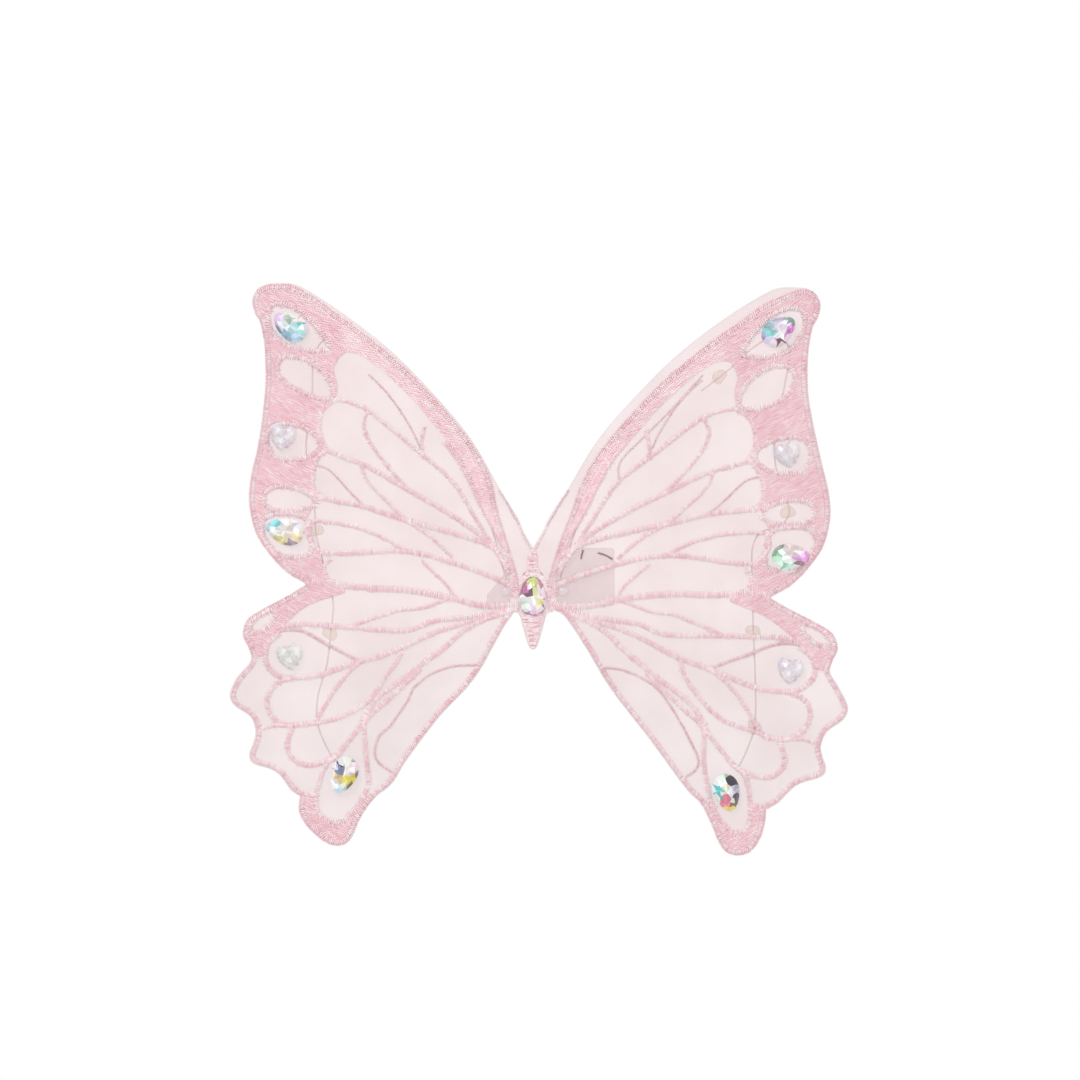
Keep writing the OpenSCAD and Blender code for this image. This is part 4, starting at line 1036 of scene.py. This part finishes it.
def makeEmbroidery(word, side, d):
    outline = d["outline"]
    edgeLine = edgeRoute(side, d["stitched"], outline)
    ringHalf = fabric["ringWidth"] / 2

    def edgeGap(p):
        return gapTo(p, edgeLine, closed=False) > fabric["edgeWidth"] / 2 - 0.4

    def clear(p):
        return ~np.any([inside(p, s) for s in d["stones"]], axis=0)

    def reach(p):
        return np.abs(p[:, 0]) > fabric["foldStart"] - 0.1

    def offRings(p):
        return ~np.any([inside(p, shifted(o, ringHalf - 0.45)) for o in d["openings"]], axis=0)

    pieces = {}

    work = Stitches(satinShape)
    edgeRun = edgeLine[np.abs(edgeLine[:, 0]) > fabric["foldStart"]]
    satinAlong(work, edgeRun, fabric["edgeWidth"], edgeLook, keep=[reach, clear])
    # small tacking stitches along the very edge, toned dark from the shaded end of the ramp: painted shade
    # along the cut edge
    tacks, run = evenly(shifted(edgeRun, fabric["edgeWidth"] / 2 - 0.5), 1.3)
    tacks, run = tacks[1:-1], run[1:-1]
    kept = passing(tacks, [reach, clear, within(outline)])
    tacks, run = tacks[kept], run[kept]
    work.add(tacks - run * 0.42, tacks + run * 0.42, 0.66, 0.4, 0.22, base=0.05)
    pieces["edge_cord"] = work.make(f"{word}_edge_satin", threadSatin)

    look = dict(rowLook, angle=side * rowLook["angle"])
    rows = rowsOver(d["fill"], [within(d["fill"]), within(outline), offRings, edgeGap, reach, clear], look)
    inLead = inside((rows[0] + rows[1]) / 2, d["leadPart"])
    for node, title, chosen, finish in (("lead_band", "lead_band_rows", inLead, threadBand),
                                        ("margin_fill", "margin_rows", ~inLead, threadFill)):
        work = Stitches(fillShape)
        addRows(work, rows, look, chosen)
        pieces[node] = work.make(f"{word}_{title}", finish)

    work = Stitches(satinShape)
    heights = np.arange(0, 74, 1.2)
    outerAt, innerAt = (np.interp(heights, curve(b)[:, 1], curve(b)[:, 0]) for b in (bandOuter, bandInner))
    for share in (0.36, 0.62, 0.9):
        line = np.stack([outerAt + (innerAt - outerAt) * share, heights], 1)
        satinAlong(work, placed(line, side), 2.9, bandLook, keep=[within(outline), edgeGap, reach, clear])
    pieces["band_zigzag"] = work.make(f"{word}_band_zigzag", threadBand)

    work = Stitches(fillShape)
    for area in (d["shoulder"], d["lobeFill"]):
        rows = rowsOver(area, [within(area), within(outline), offRings, edgeGap,
                               beyond(shifted(d["lobeWindow"], 0.8))], look)
        addRows(work, rows, look)
    pieces["hind_fill"] = work.make(f"{word}_hind_rows", threadFill)

    work = Stitches(satinShape)
    for opening in d["openings"]:
        satinAlong(work, opening, fabric["ringWidth"], ringLook, closed=True, keep=[clear, within(outline)])
    pieces["window_rings"] = work.make(f"{word}_ring_satin", threadPale)

    def shallow(p):
        deep = inside(p, d["fill"]) & (gapTo(p, d["fill"]) > 2.4)
        hind = inside(p, d["shoulder"]) & (gapTo(p, d["shoulder"]) > 1.0)
        return ~deep & ~hind

    free = [within(outline), reach, clear, edgeGap, shallow]

    work = Stitches(satinShape)
    for vein, width in zip(foreVeins, foreWidths):
        satinAlong(work, placed(curve(vein), side), width, veinLook, keep=free)
    satinAlong(work, d["seam"], fabric["veinWidth"] * 1.3, veinLook, keep=free)
    pieces["fore_veins"] = work.make(f"{word}_fore_vein_satin", threadPale)

    work = Stitches(satinShape)
    own = [leftBranch if i == 4 else leftBow if i == 5 else v for i, v in enumerate(hindVeins)]
    for vein, width in zip(own if side == left else hindVeins, hindWidths):
        satinAlong(work, placed(curve(vein), side), width, veinLook, keep=free)
    satinAlong(work, d["lobeVein"], fabric["veinWidth"], veinLook, keep=free)
    pieces["hind_veins"] = work.make(f"{word}_hind_vein_satin", threadPale)

    work = Stitches(satinShape)
    for i, vein in enumerate(fineVeins[:5] + [leftTail if side == left else fineVeins[5]]):
        if side == left and i == 2:
            continue  # the left band's stitching covers this one
        satinAlong(work, placed(curve(vein), side), fineWidths[i], fineLook,
                   keep=free if i else [within(outline), reach])
    pieces["fine_veins"] = work.make(f"{word}_fine_vein_satin", threadFine)

    rigid = ("window_rings", "margin_fill", "hind_fill")
    for node, piece in pieces.items():
        model = "lead_band" if node == "band_zigzag" else node
        settle(piece, [f"{word}_{model}"], side, bends=node not in rigid)


# body
bodyHalf = [[2, 20.6], [2.5, 15], [3.6, 11.4], [6.4, 8], [6.6, 2], [6.6, -3], [5.8, -9], [3.6, -15.4],
            [1.6, -23]]
bodyLine = [[0, 22.6], *bodyHalf, [0, -24.6], *([-x, z] for x, z in bodyHalf[::-1])]
bodyLook = {"pitch": 0.52, "thread": 0.62, "length": 3.1, "brick": 0.5, "spread": 0.22}
flapEdge = [[1.1, 22.9], [4.3, 28.9], [6.5, 33.2]]
fanReach = 7.1  # mm from the middle, beyond which no stitch of the fan starts


def makeBody():
    line = curve(bodyLine, True, 0.8)
    seat = shifted(pear[::-1], 0.15) + stones["centre_stone"]["at"]
    work = Stitches(fillShape)
    for angle, rise in ((90, 0.1), (0, 0.42)):
        layer = dict(bodyLook, angle=angle, rise=rise)
        rows = rowsOver(line, [within(line), beyond(seat)], layer)
        addRows(work, rows, layer)
    satinAlong(work, shifted(line, -0.55), 1.2, fineLook, closed=True, keep=[beyond(seat)])
    # a fan of stitches round the upper part of the stone's seat
    fan = shifted(seat, 1.15)
    top = int(np.argmax(fan[:, 1]))
    fan = np.roll(fan, len(fan) // 2 - top, 0)
    fan = curve(fan[fan[:, 1] > -3.5], step=0.8)
    satinAlong(work, fan, 2.5, ringLook, keep=[lambda p: np.abs(p[:, 0]) < fanReach])
    for side in sides.values():
        flap = curve(flapEdge, step=0.8) * (side, 1)
        satinAlong(work, flap, 1.1, fineLook)
    settle(work.make("body_embroidery", threadPale), ["body_stitching"])


# wires, glue, patches and pad
def tube(route, radius, depth, sidesRound=10, follow=True):
    line = np.array(route)
    run = np.gradient(line, axis=0)
    run /= np.linalg.norm(run, axis=1)[:, None]
    across = np.stack([-run[:, 1], run[:, 0]], 1)
    angles = np.arange(sidesRound) / sidesRound * 2 * math.pi
    rings = []
    for a in angles:
        flat = line + across * (radius * math.cos(a))
        y = depth + radius * math.sin(a) + lie(line) * follow
        rings.append(np.stack([flat[:, 0], y, flat[:, 1]], 1))
    points = np.stack(rings, 1)
    n = len(line)
    faces = banded(n - 1, sidesRound)
    faces += [list(range(sidesRound))[::-1], list(range((n - 1) * sidesRound, n * sidesRound))]
    return points.reshape(-1, 3), faces


def fromFaces(name, parts, finish, smooth=True):
    points, loops, sizes, count = [], [], [], 0
    for p, faces in parts:
        points.append(np.asarray(p) * mm)
        loops += [i + count for f in faces for i in f]
        sizes += [len(f) for f in faces]
        count += len(p)
    return addObject(name, np.concatenate(points), loops, sizes, finish, None, smooth)


wireTone = wireFinish("bentWire", {"deep": "#eef1ee", "pale": "#fbfffd"})
darkWire = wireFinish("darkWire", {"deep": "#0b0908", "pale": "#2c2623"})
glueTone = clearFinish("driedGlue", {"deep": "#d8cb98", "pale": "#efe8c6", "cover": 0.24, "rough": 0.2,
                                     "grain": 420.0, "coat": 0.6})
dropTone = clearFinish("clearGlue", {"deep": "#eddbe8", "pale": "#fbeff8", "cover": 0.42, "rough": 0.08,
                                     "grain": 300.0, "coat": 1.0})
patchTone = clearFinish("clearPlastic", {"deep": "#c4bfc0", "pale": "#e0dcdc", "cover": 0.24, "rough": 0.12,
                                         "grain": 120.0, "coat": 1.0})
padTone = clearFinish("padFoam", {"deep": "#dcd8d8", "pale": "#f0edec", "cover": 1.0, "rough": 0.6,
                                  "grain": 700.0, "coat": 0.0})


def blob(at, radius, high, depth, toward, turnBy):
    # a lathe-turned drop with an uneven rim; toward is +1 behind the cloth, -1 in front of it
    steps = [(1.0, 0.0), (1.0, 0.12), (0.9, 0.42), (0.72, 0.7), (0.46, 0.92), (0.2, 1.0)]
    count = 28
    points = []
    rest = float(lie(np.array([at], float))[0])
    for share, lift in steps:
        for i in range(count):
            a = i / count * 2 * math.pi
            r = radius * share * (1 + 0.13 * math.sin(2 * a + turnBy) + 0.08 * math.sin(3 * a + 2 * turnBy))
            points.append((at[0] + r * math.cos(a), depth + rest + toward * high * lift,
                           at[1] + r * math.sin(a)))
    last = (len(steps) - 1) * count
    faces = banded(len(steps) - 1, count) + [list(range(last, last + count)), list(range(count))[::-1]]
    return points, faces if toward < 0 else [f[::-1] for f in faces]


def plate(line, back, thick, bevel=0.18):
    # a flat piece with softened edges, from its outline
    line = clockwise(np.array(line, float))[::-1]
    rings = [(shifted(line, -bevel), back), (line, back - bevel), (line, back - thick + bevel),
             (shifted(line, -bevel), back - thick)]
    n = len(line)
    points = np.concatenate([np.stack([r[:, 0], np.full(n, y), r[:, 1]], 1) for r, y in rings])
    faces = [[k * n + i, (k + 1) * n + i, (k + 1) * n + (i + 1) % n, k * n + (i + 1) % n]
             for k in range(3) for i in range(n)]
    faces += [list(range(n)), list(range(3 * n, 4 * n))[::-1]]
    return points, faces


def roundedBox(x0, x1, z0, z1, radius, steps=5):
    corners = [(x1 - radius, z1 - radius, 0), (x0 + radius, z1 - radius, 90),
               (x0 + radius, z0 + radius, 180), (x1 - radius, z0 + radius, 270)]
    return [(cx + radius * math.cos(math.radians(a + 90 * i / steps)),
             cz + radius * math.sin(math.radians(a + 90 * i / steps)))
            for cx, cz, a in corners for i in range(steps + 1)]


patchThick = 0.8
pad = {"thick": 2.05, "bevel": 0.4, "radius": 1.6}
patchLine = {
    right: roundedBox(11, 39, -4.5, 23.5, 2.0),
    left: curve([[-11, 14], [-11, 5], [-11, -4.5], [-16.5, -4.5], [-22, -4.5], [-22, -1], [-22, 1],
                 [-16.5, 7.5]], True, 2.0),
}


def makeBack():
    bent = wireDiameter / 2
    for word, side in sides.items():
        for kind, route in (("rib", ribRoute[side]), ("spar", sparRoute[side])):
            made = fromFaces(f"{word}_{kind}_wire_bent", [tube(curve(route, step=1.5), bent, backAt + bent)],
                             wireTone)
            settle(made, [f"{word}_{kind}_wire"], side)
        blobs = [blob(at, dots["radius"], dots["high"], backAt, 1, i * 1.3)
                 for i, at in enumerate(ribGlue[side])]
        settle(fromFaces(f"{word}_glue_blobs", blobs, glueTone), [f"{word}_glue_dots"], side)
        blobs = [blob(dropAt[side], drop["radius"], drop["high"], faceAt, -1, 0.6)]
        settle(fromFaces(f"{word}_clear_glue_drop", blobs, dropTone), [f"{word}_clear_drop"],
               side)
    for word, side in sides.items():
        made = fromFaces(f"{word}_plastic_patch", [plate(patchLine[side], 0, patchThick)], patchTone,
                         smooth=False)
        settle(made, [f"{word}_root_patch"], side)
    ends = [tube(curve(e, step=0.8), stapleThick / 2, stapleDepth, follow=False) for e in stapleEnds]
    settle(fromFaces("right_staple_ends", ends, darkWire), ["right_staple"], right)
    foam = plate(roundedBox(-5, 5, -12, 12, pad["radius"]), 0, pad["thick"], pad["bevel"])
    settle(fromFaces("back_fixing_pad", [foam], padTone, smooth=False), ["back_pad"])


print("stitching")
makeBody()
drawings = {word: wingDrawing(side) for word, side in sides.items()}
for word, side in sides.items():
    makeEmbroidery(word, side, drawings[word])
print("stones")
makeStones()
print("wires and glue")
makeBack()
print("cloth")
for word, side in sides.items():
    makeCloth(word, side, drawings[word])
